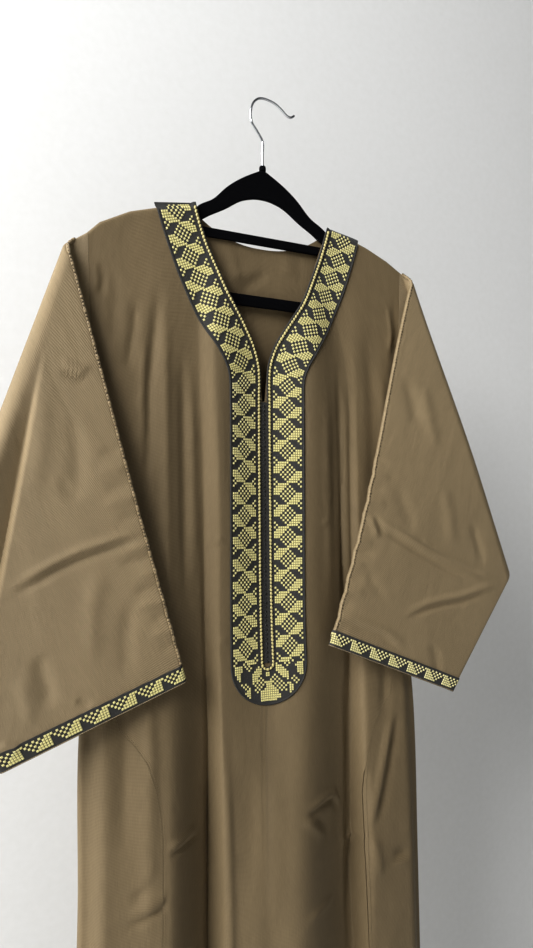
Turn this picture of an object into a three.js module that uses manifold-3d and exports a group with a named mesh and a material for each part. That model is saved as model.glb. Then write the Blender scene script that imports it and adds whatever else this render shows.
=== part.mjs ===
// A long embroidered thobe on a slim velvet hanger.
//
// Frame: millimetres, +Z up, +X to the right of a person who faces the garment, +Y away from
// them.  The origin is under the crown of the hook, where the garment hangs.  The cloth hangs
// flat: its front faces -Y, its back faces +Y, and the hanger lies in the plane y = 0.
//
// Every piece of cloth is one wall: a grid of points on the middle of the cloth, moved half a
// thickness to each side along the surface's normal and closed along its edges.

import * as THREE from 'three';
import { mergeVertices } from 'three/addons/utils/BufferGeometryUtils.js';
import Module from 'manifold-3d';

const wasm = await Module();
wasm.setup();

// ---------------------------------------------------------------- driving dimensions

const CLOTH = 1.2;            // wall of the body, sleeves and side panels
const TRIM = 0.8;             // wall of the embroidered bands
const GAP = 0.3;              // between two pieces that are sewn together
const HEM_Z = -1550;          // lower edge of the garment
const SHOULDER_R = 3.7;       // the cloth's bend over the hanger's arm
const NECK_HALF = 89;         // half the width of the neck at the shoulders
const NECK_END = 92;          // the shoulder seams start this far out
const BACK_NECK_Z = -183;     // lowest point of the back neckline
const SLIT_END_Z = -372;      // the neck slit is knotted shut below this
const BAND_W = 45;            // width of the neck band
const STRIP_W = 9.4;          // width of the knotted strip in the middle of the placket
const CLOSURE_Z = -691;       // centre of the round end of the placket
const CUFF_W = 20;            // width of the cuff band
const SLEEVE_H = 3.7;         // half the hollow between the two layers of a sleeve

// Heights at which the folds of the body are given.
const LEVELS = [-200, -350, -500, -640, -780, -950, -1550];

// Folds of the front, from the wearer's right edge to the left one: x and y at each level.
const FRONT_FOLDS = [
  { name: 'side ridge left', x: [-180, -185, -190, -194, -197, -201, -214],
    y: [-5, -7, -8, -12, -20, -28, -40] },
  { name: 'column ridge left', x: [-128, -128, -128, -128, -129, -132, -142],
    y: [-6, -9, -11, -16, -26, -38, -54] },
  { name: 'valley left', x: [-90, -86, -80, -76, -71, -70, -74],
    y: [-5, -6, -5, -4, -1, 0, 1] },
  { name: 'placket edge left', x: [-66, -66, -62, -62, -61, -61, -64],
    y: [-9, -15, -16, -16, -21, -28, -38] },
  { name: 'placket middle', x: [0, 0, 0, 0, -8, -12, -16],
    y: [-5, -2.2, -4, -8, -21, -34, -47] },
  { name: 'placket edge right', x: [60, 60, 58, 54, 42, 31, 26],
    y: [-9, -16, -17, -18, -28, -42, -58] },
  { name: 'valley right', x: [90, 118, 122, 126, 129, 131, 136],
    y: [-5, -5, -4, -3, -1, 0, 1] },
  { name: 'column edge right', x: [131, 132, 134, 137, 139, 141, 148],
    y: [-6, -8, -10, -13, -17, -24, -32] },
  { name: 'side ridge right', x: [178, 180, 186, 192, 200, 206, 222],
    y: [-5, -7, -8, -10, -16, -22, -34] },
];

// Folds of the back, given the same way.
const BACK_FOLDS = [
  { name: 'side ridge left', x: [-176, -180, -184, -190, -194, -198, -208],
    y: [4.5, 7, 8, 11, 17, 24, 36] },
  { name: 'outer valley left', x: [-90, -112, -112, -108, -106, -104, -100],
    y: [5.5, 9, 10, 12, 14, 15, 17] },
  { name: 'inner ridge left', x: [-46, -44, -42, -42, -44, -48, -56],
    y: [7, 13, 15, 18, 24, 32, 46] },
  { name: 'middle valley', x: [22, 22, 20, 20, 18, 16, 10],
    y: [7, 12, 13, 14, 15, 16, 18] },
  { name: 'inner ridge right', x: [90, 88, 86, 84, 80, 76, 70],
    y: [6, 11, 13, 16, 21, 28, 42] },
  { name: 'outer valley right', x: [146, 146, 144, 142, 140, 138, 134],
    y: [5, 8, 9, 12, 14, 15, 17] },
  { name: 'side ridge right', x: [182, 184, 188, 194, 200, 205, 218],
    y: [4.5, 7, 8, 10, 15, 22, 34] },
];

// Shallow folds that start and end inside a panel: from (x0, z0) to (x1, z1), with a half
// width and a depth, negative towards the viewer.
const SOFT_FOLDS = [
  { x0: -150, z0: -215, x1: -146, z1: -440, half: 9, depth: 3.5 },
  { x0: -146, z0: -440, x1: -160, z1: -620, half: 9, depth: 4 },
  { x0: -166, z0: -290, x1: -178, z1: -420, half: 9, depth: 2.5 },
  { x0: -106, z0: -330, x1: -104, z1: -640, half: 8, depth: 3.5 },
  { x0: 150, z0: -240, x1: 160, z1: -560, half: 12, depth: 2 },
];

// The neck's edge, the outer edge of its band, and the shoulder line: half width at a height.
const NECK_EDGE = { z: [-355, -330, -305, -280, -245, -205, -172, -151],
  x: [3, 5, 13, 27, 50, 68, 80, 89] };
const BAND_EDGE = { z: [-345, -326, -305, -275, -250, -222, -187, -158],
  x: [50, 58, 72, 90, 103, 115, 126, 138] };

// The two sides differ a little, as the garment hangs slightly askew.  fold: upper end of the
// sleeve's fold line; foldTilt: its angle from the vertical, outwards; armTop and armpit: ends
// of the armhole; cuffIn and cuffOut: ends of the cuff.
const SIDES = {
  left: { sign: -1, fold: [229, -200], foldTilt: 19.5, armTop: [214, -200], armpit: [203, -572],
    cuffIn: [111, -698], cuffOut: [306, -769],
    shoulder: { x: [89, 131, 166, 200, 214], z: [-148, -157, -168, -186, -200] },
    edge: [212, 212, 207, 212, 219, 218, 232] },
  right: { sign: 1, fold: [213, -190], foldTilt: 22, armTop: [202, -184], armpit: [200, -549],
    cuffIn: [79, -674], cuffOut: [269, -751],
    shoulder: { x: [89, 119, 150, 182, 202], z: [-145, -151, -160, -173, -184] },
    edge: [204, 203, 202, 210, 222, 226, 240] },
};
const FOLD_R = { top: 6, low: 15, reach: 300 };   // the sleeve's bend, growing down its fold
const UNDER_PIT = 90;         // the side widens from the armpit to its full width over this height
const OPENING = { from: 8, over: 110 };   // under a shoulder the cloth opens to its folds

// Seams between the body and the side panels: half width at a height.
const SIDE_SEAM = { z: [-1550, -870, -845, -815, -785, -765, -750, -700, -620, -540],
  x: [150, 137, 138, 143, 153, 166, 180, 192, 196, 199] };

// ---------------------------------------------------------------- small helpers

const rad = (degrees) => degrees * Math.PI / 180;
const clamp = (v, low, high) => Math.min(high, Math.max(low, v));
const mix = (a, b, t) => a + (b - a) * t;
const ease = (t) => { const s = clamp(t, 0, 1); return s * s * (3 - 2 * s); };

// A smooth curve through (at[i], value[i]); at runs up or down.
function track(at, value, t) {
  const up = at[at.length - 1] > at[0];
  let i = 0;
  while (i < at.length - 2 && (up ? t > at[i + 1] : t < at[i + 1])) i += 1;
  const slope = (k) => {
    const a = Math.max(0, k - 1);
    const b = Math.min(at.length - 1, k + 1);
    return (value[b] - value[a]) / (at[b] - at[a]);
  };
  const span = at[i + 1] - at[i];
  const s = clamp((t - at[i]) / span, 0, 1);
  const h00 = (1 + 2 * s) * (1 - s) ** 2;
  const h10 = s * (1 - s) ** 2;
  const h01 = s * s * (3 - 2 * s);
  const h11 = s * s * (s - 1);
  return h00 * value[i] + h10 * span * slope(i) + h01 * value[i + 1] + h11 * span * slope(i + 1);
}

// A straight-sided look-up through the same kind of table.
function lookUp(at, value, t) {
  const up = at[at.length - 1] > at[0];
  let i = 0;
  while (i < at.length - 2 && (up ? t > at[i + 1] : t < at[i + 1])) i += 1;
  return mix(value[i], value[i + 1], clamp((t - at[i]) / (at[i + 1] - at[i]), 0, 1));
}

// ---------------------------------------------------------------- the form of the body

const sideOf = (x) => (x < 0 ? SIDES.left : SIDES.right);

// Half width of the body at a height, the armhole's line above the armpit.
function halfWidth(side, z) {
  const [topX, topZ] = side.armTop;
  const [pitX, pitZ] = side.armpit;
  if (z > pitZ) return mix(topX, pitX, (topZ - z) / (topZ - pitZ));
  const below = track(LEVELS, side.edge, z);
  return mix(pitX, below, ease((pitZ - z) / UNDER_PIT));
}

const shoulderZ = (x) => {
  const { shoulder } = sideOf(x);
  return lookUp(shoulder.x, shoulder.z, Math.abs(x));
};

// Depth of one face of the body at its outer edge, where it turns to the other face.
const EDGE_DEPTH = [3.7, 3.7, 3.7, 5, 7, 9, 12];
const edgeDepth = (z) => Math.max(SHOULDER_R, track(LEVELS, EDGE_DEPTH, z));

function foldDepth(folds, facing, x, z) {
  const left = -halfWidth(SIDES.left, z);
  const right = halfWidth(SIDES.right, z);
  let x0 = left;
  let y0 = facing * edgeDepth(z);
  for (const fold of folds) {
    const x1 = track(LEVELS, fold.x, z);
    const y1 = track(LEVELS, fold.y, z);
    if (x <= x1) return mix(y0, y1, ease((x - x0) / (x1 - x0)));
    x0 = x1;
    y0 = y1;
  }
  return mix(y0, facing * edgeDepth(z), ease((x - x0) / (right - x0)));
}

function softFolds(x, z) {
  let depth = 0;
  for (const fold of SOFT_FOLDS) {
    const dx = fold.x1 - fold.x0;
    const dz = fold.z1 - fold.z0;
    const length = Math.hypot(dx, dz);
    const along = ((x - fold.x0) * dx + (z - fold.z0) * dz) / (length * length);
    const across = ((x - fold.x0) * dz - (z - fold.z0) * dx) / length;
    const ends = ease(along / 0.25) * ease((1 - along) / 0.25);
    depth += fold.depth * ends * Math.exp(-((across / fold.half) ** 2));
  }
  return depth;
}

// How much of its depth the cloth has this far under the shoulder: it bends over the arm on a
// circle, and opens to its folds over the next hand's width.
function overShoulder(depth, facing, x, z) {
  const drop = shoulderZ(x) - z;
  const flat = facing * SHOULDER_R;
  const open = mix(flat, depth, ease((drop - OPENING.from) / OPENING.over));
  if (drop >= SHOULDER_R || Math.abs(x) < NECK_END) return open;
  const lean = 1 - Math.max(drop, 0) / SHOULDER_R;
  return open * Math.sqrt(Math.max(0, 1 - lean * lean));
}

const frontY = (x, z) => overShoulder(foldDepth(FRONT_FOLDS, -1, x, z) + softFolds(x, z), -1, x, z);
const backY = (x, z) => overShoulder(foldDepth(BACK_FOLDS, 1, x, z), 1, x, z);

// ---------------------------------------------------------------- walls from grids

const sub = (a, b) => [a[0] - b[0], a[1] - b[1], a[2] - b[2]];
const cross = (a, b) => [a[1] * b[2] - a[2] * b[1], a[2] * b[0] - a[0] * b[2],
  a[0] * b[1] - a[1] * b[0]];
const along = (p, n, d) => [p[0] + n[0] * d, p[1] + n[1] * d, p[2] + n[2] * d];
function unit(v) {
  const length = Math.hypot(...v);
  return [v[0] / length, v[1] / length, v[2] / length];
}

// Normal of the height field y = depth(x, z), towards the side that `facing` names.
function faceNormal(depth, facing, x, z) {
  const step = 0.4;
  const drop = shoulderZ(x) - z;
  if (drop < SHOULDER_R && Math.abs(x) > NECK_END) {
    const turn = Math.acos(clamp(1 - drop / SHOULDER_R, 0, 1));
    const fall = (shoulderZ(x - step) - shoulderZ(x + step)) / (2 * step);
    return unit([fall * Math.cos(turn), facing * Math.sin(turn), Math.cos(turn)]);
  }
  const dx = (depth(x + step, z) - depth(x - step, z)) / (2 * step);
  const dz = (depth(x, z + step) - depth(x, z - step)) / (2 * step);
  const n = unit([dx, -1, dz]);
  return facing < 0 ? n : [-n[0], -n[1], -n[2]];
}

// Normals of a grid of points from its own neighbours.
function gridNormals(grid, ring) {
  const rows = grid.length;
  const cols = grid[0].length;
  return grid.map((row, i) => row.map((_, j) => {
    const up = grid[Math.min(rows - 1, i + 1)][j];
    const down = grid[Math.max(0, i - 1)][j];
    const next = grid[i][ring ? (j + 1) % cols : Math.min(cols - 1, j + 1)];
    const last = grid[i][ring ? (j + cols - 1) % cols : Math.max(0, j - 1)];
    return unit(cross(sub(up, down), sub(next, last)));
  }));
}

// A closed wall between the grid moved `low` and moved `high` along its normals.
function wall(grid, normals, low, high, ring = false) {
  const rows = grid.length;
  const cols = grid[0].length;
  const points = [];
  for (const shift of [low, high]) {
    grid.forEach((row, i) => row.forEach((p, j) => points.push(...along(p, normals[i][j], shift))));
  }
  const at = (layer, i, j) => layer * rows * cols + i * cols + (j % cols);
  const faces = [];
  const quad = (a, b, c, d) => faces.push(a, b, c, a, c, d);
  const spans = ring ? cols : cols - 1;
  for (let i = 0; i < rows - 1; i += 1) {
    for (let j = 0; j < spans; j += 1) {
      quad(at(0, i, j), at(0, i, j + 1), at(0, i + 1, j + 1), at(0, i + 1, j));
      quad(at(1, i, j), at(1, i + 1, j), at(1, i + 1, j + 1), at(1, i, j + 1));
    }
  }
  for (let j = 0; j < spans; j += 1) {
    quad(at(1, 0, j), at(1, 0, j + 1), at(0, 0, j + 1), at(0, 0, j));
    quad(at(0, rows - 1, j), at(0, rows - 1, j + 1), at(1, rows - 1, j + 1), at(1, rows - 1, j));
  }
  if (!ring) {
    for (let i = 0; i < rows - 1; i += 1) {
      quad(at(0, i, 0), at(0, i + 1, 0), at(1, i + 1, 0), at(1, i, 0));
      quad(at(1, i, cols - 1), at(1, i + 1, cols - 1), at(0, i + 1, cols - 1), at(0, i, cols - 1));
    }
  }
  const geometry = new THREE.BufferGeometry();
  geometry.setAttribute('position', new THREE.Float32BufferAttribute(points, 3));
  geometry.setIndex(volume(points, faces) < 0 ? flipped(faces) : faces);
  geometry.computeVertexNormals();
  return geometry;
}

function volume(points, faces) {
  let sum = 0;
  for (let k = 0; k < faces.length; k += 3) {
    const [a, b, c] = [0, 1, 2].map((m) => points.slice(3 * faces[k + m], 3 * faces[k + m] + 3));
    const n = cross(b, c);
    sum += a[0] * n[0] + a[1] * n[1] + a[2] * n[2];
  }
  return sum;
}

function flipped(faces) {
  const out = [];
  for (let k = 0; k < faces.length; k += 3) out.push(faces[k], faces[k + 2], faces[k + 1]);
  return out;
}

// A wall on one face of the body, from a grid of [x, z] pairs.
function bodyWall(pairs, facing, low, high) {
  const depth = facing < 0 ? frontY : backY;
  const grid = pairs.map((row) => row.map(([x, z]) => [x, depth(x, z), z]));
  const normals = pairs.map((row) => row.map(([x, z]) => faceNormal(depth, facing, x, z)));
  return wall(grid, normals, low, high);
}

// ---------------------------------------------------------------- materials and the group

const group = new THREE.Group();
const OLIVE = { color: 0x76684c, roughness: 0.78, metalness: 0 };
const EMBROIDERY = { color: 0x8d8752, roughness: 0.62, metalness: 0.05 };
const CHARCOAL = { color: 0x37373a, roughness: 0.8, metalness: 0 };
const VELVET = { color: 0x0b0b0d, roughness: 0.95, metalness: 0 };
const CHROME = { color: 0xc9cbce, roughness: 0.18, metalness: 1 };

function addPiece(name, geometry, finish) {
  const mesh = new THREE.Mesh(geometry, new THREE.MeshStandardMaterial(finish));
  mesh.name = name;
  group.add(mesh);
}

// ---------------------------------------------------------------- front and back panels

// Heights of a panel's rows: four over the shoulder's bend, then evenly to the hem, with the
// rows of every column meeting the side seam's own rows at its edge.
const BEND_ANGLES = [3, 30, 60, 90];
const ROWS_BELOW = 19;
const ROW_GROWTH = 0.45;      // share of the height that the rows' growing spacing takes
const PRESSED = 0.62;         // columns outside this share of the width press together
const SEAM_EASE = 60;         // the side seam leaves the armhole's line over this height

function columnRows(topZ) {
  const rows = BEND_ANGLES.map((a) => topZ - SHOULDER_R * (1 - Math.cos(rad(a))));
  const start = rows[rows.length - 1];
  for (let j = 1; j <= ROWS_BELOW; j += 1) {
    const t = j / ROWS_BELOW;
    rows.push(mix(start, HEM_Z, (1 - ROW_GROWTH) * t + ROW_GROWTH * t * t));
  }
  return rows;
}

// The panel's half width: the armhole's line, then the seam of the side panel.
function panelEdge(side, z) {
  const pitZ = side.armpit[1];
  if (z > pitZ) return halfWidth(side, z) - GAP;
  const seam = lookUp(SIDE_SEAM.z, SIDE_SEAM.x, z);
  return mix(side.armpit[0], seam, ease((pitZ - z) / SEAM_EASE)) - GAP / 2;
}

// x of a column at a height: the columns follow the folds, pressed together near the seams.
function columnX(folds, column, per, z) {
  const k = Math.floor(column / per);
  const lines = [-halfWidth(SIDES.left, z), ...folds.map((f) => track(LEVELS, f.x, z)),
    halfWidth(SIDES.right, z)];
  const x = mix(lines[k], lines[Math.min(k + 1, lines.length - 1)], (column % per) / per);
  const side = sideOf(x);
  const edge = panelEdge(side, z);
  const full = halfWidth(side, z);
  const start = PRESSED * edge;
  const size = Math.abs(x);
  if (size <= start) return x;
  return side.sign * mix(start, edge, (size - start) / (full - start));
}

// Top of a column: the neckline inside the shoulders, the shoulder line outside them.
function columnTop(folds, column, per, neckline) {
  let z = -200;
  for (let turn = 0; turn < 12; turn += 1) {
    const x = columnX(folds, column, per, z);
    z = mix(z, Math.abs(x) < NECK_END ? neckline(Math.abs(x)) : shoulderZ(x), 0.7);
  }
  return z;
}

const BACK_NECK = { top: -151, bend: 2.4 };   // where it meets the shoulders, and its curve
const frontNeck = (x) => (x <= NECK_EDGE.x[0] ? SLIT_END_Z : lookUp(NECK_EDGE.x, NECK_EDGE.z, x));
const backNeck = (x) => mix(BACK_NECK_Z, BACK_NECK.top, Math.min(1, x / NECK_HALF) ** BACK_NECK.bend);

function panelPairs(folds, per, neckline) {
  const pairs = [];
  for (let c = 0; c <= (folds.length + 1) * per; c += 1) {
    const rows = columnRows(columnTop(folds, c, per, neckline));
    pairs.push(rows.map((z) => [columnX(folds, c, per, z), z]));
  }
  return pairs;
}

const frontPairs = panelPairs(FRONT_FOLDS, 3, frontNeck);
addPiece('front_panel', bodyWall(frontPairs, -1, -CLOTH / 2, CLOTH / 2), OLIVE);
const backPairs = panelPairs(BACK_FOLDS, 3, backNeck);
addPiece('back_panel', bodyWall(backPairs, 1, -CLOTH / 2, CLOTH / 2), OLIVE);

// ---------------------------------------------------------------- side panels

const FACE_STEPS = 5;         // columns on the front and on the back part of a side panel
const TURN_STEPS = 4;         // and round its outer edge
const PANEL_TOP = 3;          // it is pointed, and starts this far under the armpit
const PANEL_START = 8;        // its second row lies lower than this
const TURN_WIDTH = 0.6;       // the turn's width, as a share of its depth
const PANEL_MIN = 1.2;        // least width of one face, at the pointed top

function sidePanel(side) {
  const topZ = side.armpit[1];
  const rows = columnRows(shoulderZ(side.sign * side.armTop[0])).filter((z) => z < topZ - PANEL_START);
  rows.unshift(topZ - PANEL_TOP);
  const grid = [];
  for (const z of rows) {
    const seam = panelEdge(side, z) + GAP;
    const depth = edgeDepth(z);
    const edge = Math.max(halfWidth(side, z), seam + PANEL_MIN);
    const row = [];
    for (const facing of [-1, 1]) {
      const half = [];
      const shape = facing < 0 ? frontY : backY;
      for (let k = 0; k <= FACE_STEPS; k += 1) {
        const x = mix(seam, edge, k / FACE_STEPS) * side.sign;
        half.push([x, shape(x, z), z]);
      }
      for (let k = 1; k <= TURN_STEPS / 2; k += 1) {
        const a = (Math.PI / 2) * (k / (TURN_STEPS / 2));
        half.push([(edge + depth * TURN_WIDTH * Math.sin(a)) * side.sign, facing * depth * Math.cos(a), z]);
      }
      if (facing > 0) half.pop();
      row.push(...(facing < 0 ? half : half.reverse()));
    }
    grid.push(row);
  }
  const normals = gridNormals(grid, false);
  const turn = side.sign * normals[1][FACE_STEPS + 2][0] > 0 ? 1 : -1;
  normals.forEach((row, i) => row.forEach((n, j) => {
    const [x, , z] = grid[i][j];
    const last = row.length - 1;
    if (j < FACE_STEPS) row[j] = faceNormal(frontY, -1, x, z);
    else if (j > last - FACE_STEPS) row[j] = faceNormal(backY, 1, x, z);
    else row[j] = n.map((v) => v * turn);
  }));
  return wall(grid, normals, -CLOTH / 2, CLOTH / 2);
}

// ---------------------------------------------------------------- sleeves

// A sleeve is flat, with its outer part turned forward over a slanting fold line.  Points of
// the flat sleeve are (s, d): s down the fold line, d across it, growing towards the cuff.
// n is the distance from the sleeve's middle, towards the layer that shows on the turned part.
function foldFrame(side) {
  const tilt = rad(side.foldTilt);
  return { along: [Math.sin(tilt), -Math.cos(tilt)], out: [Math.cos(tilt), Math.sin(tilt)] };
}

const foldRadius = (s) => mix(FOLD_R.top, FOLD_R.low, ease(s / FOLD_R.reach));

function folded(side, s, d, n) {
  const frame = foldFrame(side);
  const r = foldRadius(s);
  const angle = (d + r) / r - Math.PI / 2;
  let q;
  let y;
  if (angle < -Math.PI / 2) {
    q = d;
    y = n;
  } else if (angle > Math.PI / 2) {
    q = (Math.PI - 2) * r - d;
    y = -2 * r - n;
  } else {
    q = -r + (r + n) * Math.cos(angle);
    y = -r - (r + n) * Math.sin(angle);
  }
  const x = side.fold[0] + s * frame.along[0] + q * frame.out[0];
  const z = side.fold[1] + s * frame.along[1] + q * frame.out[1];
  return [x * side.sign, y, z];
}

// Place of a point of the hanging sleeve in the flat one.
function unfolded(side, point, turned) {
  const frame = foldFrame(side);
  const dx = point[0] - side.fold[0];
  const dz = point[1] - side.fold[1];
  const s = dx * frame.along[0] + dz * frame.along[1];
  const q = dx * frame.out[0] + dz * frame.out[1];
  return [s, turned ? (Math.PI - 2) * foldRadius(s) - q : q];
}

const between = (a, b, t) => [mix(a[0], b[0], t), mix(a[1], b[1], t)];
const between3 = (a, b, t) => a.map((v, k) => mix(v, b[k], t));

// Share of the way from a to b at which the flat sleeve is bent by this angle.
function shareAtBend(a, b, angle) {
  let low = 0;
  let high = 1;
  for (let turn = 0; turn < 40; turn += 1) {
    const mid = (low + high) / 2;
    const [s, d] = between(a, b, mid);
    if (d < (angle + Math.PI / 2 - 1) * foldRadius(s)) low = mid; else high = mid;
  }
  return (low + high) / 2;
}

const FLAT_STATIONS = 3;      // lines across the sleeve behind its fold
const BEND_STATIONS = 8;      // round the fold
const TURNED_STATIONS = 8;    // from the fold to the cuff
const ROLL_STEPS = 3;         // round the over-arm and under-arm seams
const ACROSS = 7;             // between those seams

function sleeveStations(side) {
  const top = unfolded(side, side.armTop, false);
  const pit = unfolded(side, side.armpit, false);
  const cuffIn = unfolded(side, side.cuffIn, true);
  const cuffOut = unfolded(side, side.cuffOut, true);
  const shares = [];
  const firstTop = shareAtBend(top, cuffIn, -Math.PI / 2);
  const firstLow = shareAtBend(pit, cuffOut, -Math.PI / 2);
  for (let k = 0; k < FLAT_STATIONS; k += 1) {
    shares.push([firstTop * k / FLAT_STATIONS, firstLow * k / FLAT_STATIONS]);
  }
  for (let k = 0; k <= BEND_STATIONS; k += 1) {
    const angle = Math.PI * (k / BEND_STATIONS - 0.5);
    shares.push([shareAtBend(top, cuffIn, angle), shareAtBend(pit, cuffOut, angle)]);
  }
  const [lastTop, lastLow] = shares[shares.length - 1];
  for (let k = 1; k <= TURNED_STATIONS; k += 1) {
    const t = k / TURNED_STATIONS;
    shares.push([mix(lastTop, 1, t), mix(lastLow, 1, t)]);
  }
  return shares.map(([a, b]) => [between(top, cuffIn, a), between(pit, cuffOut, b)]);
}

// Points across one layer of the sleeve at a station, rolled at both seams.  The first and the
// last lie just past the seams: they only turn the normals at the edges.
function acrossLayer(side, [from, to], layer) {
  const length = Math.hypot(to[0] - from[0], to[1] - from[1]);
  const h = SLEEVE_H;
  const roll = [];
  for (let k = -1; k <= ROLL_STEPS; k += 1) {
    const a = (Math.PI / 2) * (k / ROLL_STEPS);
    roll.push([h * (1 - Math.cos(a)), k === 0 ? GAP / 2 : h * Math.sin(a)]);
  }
  const spots = [...roll];
  for (let k = 1; k < ACROSS; k += 1) spots.push([mix(h, length - h, k / ACROSS), h]);
  spots.push(...roll.reverse().map(([w, n]) => [length - w, n]));
  return spots.map(([w, n]) => {
    const [s, d] = between(from, to, w / length);
    return folded(side, s, d, layer * n);
  });
}

function sleeveHalf(side, layer) {
  const wide = sleeveStations(side).map((station) => acrossLayer(side, station, layer));
  const trim = (rows) => rows.map((row) => row.slice(1, -1));
  return wall(trim(wide), trim(gridNormals(wide, false)), -CLOTH / 2, CLOTH / 2);
}

// The cuff's band lies round both layers, moved out from their points.
function cuffBand(side) {
  const ringAt = (station) => {
    const visible = acrossLayer(side, station, 1).slice(1, -1);
    const hidden = acrossLayer(side, station, -1).slice(1, -1);
    const ends = [0, visible.length - 1].map((k) => between3(visible[k], hidden[k], 0.5));
    return [ends[0], ...visible.slice(1, -1), ends[1], ...hidden.slice(1, -1).reverse()];
  };
  const stations = sleeveStations(side);
  const cuff = ringAt(stations[stations.length - 1]);
  const before = ringAt(stations[stations.length - 2]);
  const grid = [0, 0.5, 1].map((t) => cuff.map((p, k) => {
    const span = Math.hypot(...sub(p, before[k]));
    return between3(p, before[k], t * CUFF_W / span);
  }));
  const normals = gridNormals(grid, true);
  const lift = CLOTH / 2 + GAP;
  const outward = normals[0][ROLL_STEPS + 2][1] < 0 ? 1 : -1;
  return wall(grid, normals, outward * lift, outward * (lift + TRIM), true);
}

for (const [name, side] of Object.entries(SIDES)) {
  addPiece(`side_panel_${name}`, sidePanel(side), OLIVE);
  addPiece(`sleeve_back_${name}`, sleeveHalf(side, 1), OLIVE);
  addPiece(`sleeve_front_${name}`, sleeveHalf(side, -1), OLIVE);
  addPiece(`cuff_band_${name}`, cuffBand(side), EMBROIDERY);
}

// ---------------------------------------------------------------- neck band and placket

const ROUND_STEPS = 8;        // round the lower end of the placket
const INSIDE = 5;             // half the width between the bands below the slit
const PAST_SHOULDER = 12;     // the cutting outline runs past the shoulder line by this much
const bandLift = CLOTH / 2 + GAP;

function toSolid(geometry) {
  const bare = geometry.clone();
  bare.deleteAttribute('normal');
  if (bare.getAttribute('uv')) bare.deleteAttribute('uv');
  const merged = mergeVertices(bare, 1e-4);
  return new wasm.Manifold(new wasm.Mesh({
    numProp: 3,
    vertProperties: merged.getAttribute('position').array,
    triVerts: new Uint32Array(merged.index.array),
  }));
}

function toGeometry(solid) {
  const mesh = solid.getMesh();
  const geometry = new THREE.BufferGeometry();
  geometry.setAttribute('position', new THREE.Float32BufferAttribute(mesh.vertProperties, 3));
  geometry.setIndex(Array.from(mesh.triVerts));
  geometry.computeVertexNormals();
  return geometry;
}

// A sheet parallel to the front panel, made from the panel's own points moved out, from which
// the bands and the strip are cut.
const overFront = toSolid(bodyWall(frontPairs, -1, bandLift, bandLift + TRIM));

function cutFromFront(outline) {
  const shape = new THREE.Shape(outline.map(([x, z]) => new THREE.Vector2(x, z)));
  const prism = new THREE.ExtrudeGeometry(shape, { depth: 80, bevelEnabled: false });
  prism.rotateX(Math.PI / 2);
  return toGeometry(overFront.intersect(toSolid(prism)));
}

// Outline of one band: down its inner edge, round the end of the placket, up its outer edge.
function bandOutline(side) {
  const lastX = BAND_EDGE.x[BAND_EDGE.x.length - 1];
  const inner = [[NECK_HALF, shoulderZ(NECK_HALF) + PAST_SHOULDER], [NECK_HALF, BACK_NECK.top]];
  const outer = [[lastX, shoulderZ(lastX) + PAST_SHOULDER]];
  for (let k = NECK_EDGE.z.length - 2; k > 0; k -= 1) inner.push([NECK_EDGE.x[k], NECK_EDGE.z[k]]);
  for (let k = BAND_EDGE.z.length - 1; k >= 0; k -= 1) outer.push([BAND_EDGE.x[k], BAND_EDGE.z[k]]);
  inner.push([INSIDE, NECK_EDGE.z[1]], [INSIDE, CLOSURE_Z]);
  outer.push([INSIDE + BAND_W, CLOSURE_Z]);
  for (let k = 1; k <= ROUND_STEPS; k += 1) {
    const a = (Math.PI / 2) * (k / ROUND_STEPS);
    for (const [edge, r] of [[inner, INSIDE], [outer, INSIDE + BAND_W]]) {
      edge.push([Math.max(GAP / 2, r * Math.cos(a)), CLOSURE_Z - r * Math.sin(a)]);
    }
  }
  const outline = [...inner, ...outer.reverse()];
  return outline.map(([x, z]) => [x * side.sign, z]);
}

for (const [name, side] of Object.entries(SIDES)) {
  addPiece(`neck_band_${name}`, cutFromFront(bandOutline(side)), EMBROIDERY);
}

const strip = STRIP_W / 2;
addPiece('placket_strip', cutFromFront([[-strip, CLOSURE_Z], [strip, CLOSURE_Z],
  [strip, SLIT_END_Z - 1], [-strip, SLIT_END_Z - 1]]), CHARCOAL);

// ---------------------------------------------------------------- hanger

const HANGER = { thick: 5, tipX: 199, barTop: -243, barLow: -257, end: 13, clear: 0.5 };
const NECK_TOP = { x: [0, 12, 31, 48, 65, 82], z: [-88.3, -93, -104, -117, -134, -144] };
const NECK_LOW = { x: [0, 14, 30, 50, 68, 85], z: [-124, -125.5, -131, -144, -154, -164] };

const ARM_TOP = [[95, 4.5], [106, 4.2], [119, 2.4], [131, 0.8], [150, 0.6], [166, 0.6], [182, 0.6],
  [190, 0.6]];                // x on an arm, and how far it lies lower than the cloth allows

function plate(outline, thick) {
  const shape = new THREE.Shape(outline.map(([x, z]) => new THREE.Vector2(x, z)));
  const bevel = 1.2;
  const geometry = new THREE.ExtrudeGeometry(shape, {
    depth: thick - 2 * bevel, bevelEnabled: true, bevelThickness: bevel, bevelSize: bevel,
    bevelOffset: -bevel, bevelSegments: 1, curveSegments: 1,
  });
  geometry.translate(0, 0, -thick / 2 + bevel);
  geometry.rotateX(Math.PI / 2);
  return geometry;
}

// Under side of the cloth over the arm, less the running clearance.
function armTopZ(side, x) {
  return shoulderZ(x * side.sign) - CLOTH / 2 - HANGER.clear - 0.9;
}

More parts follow.
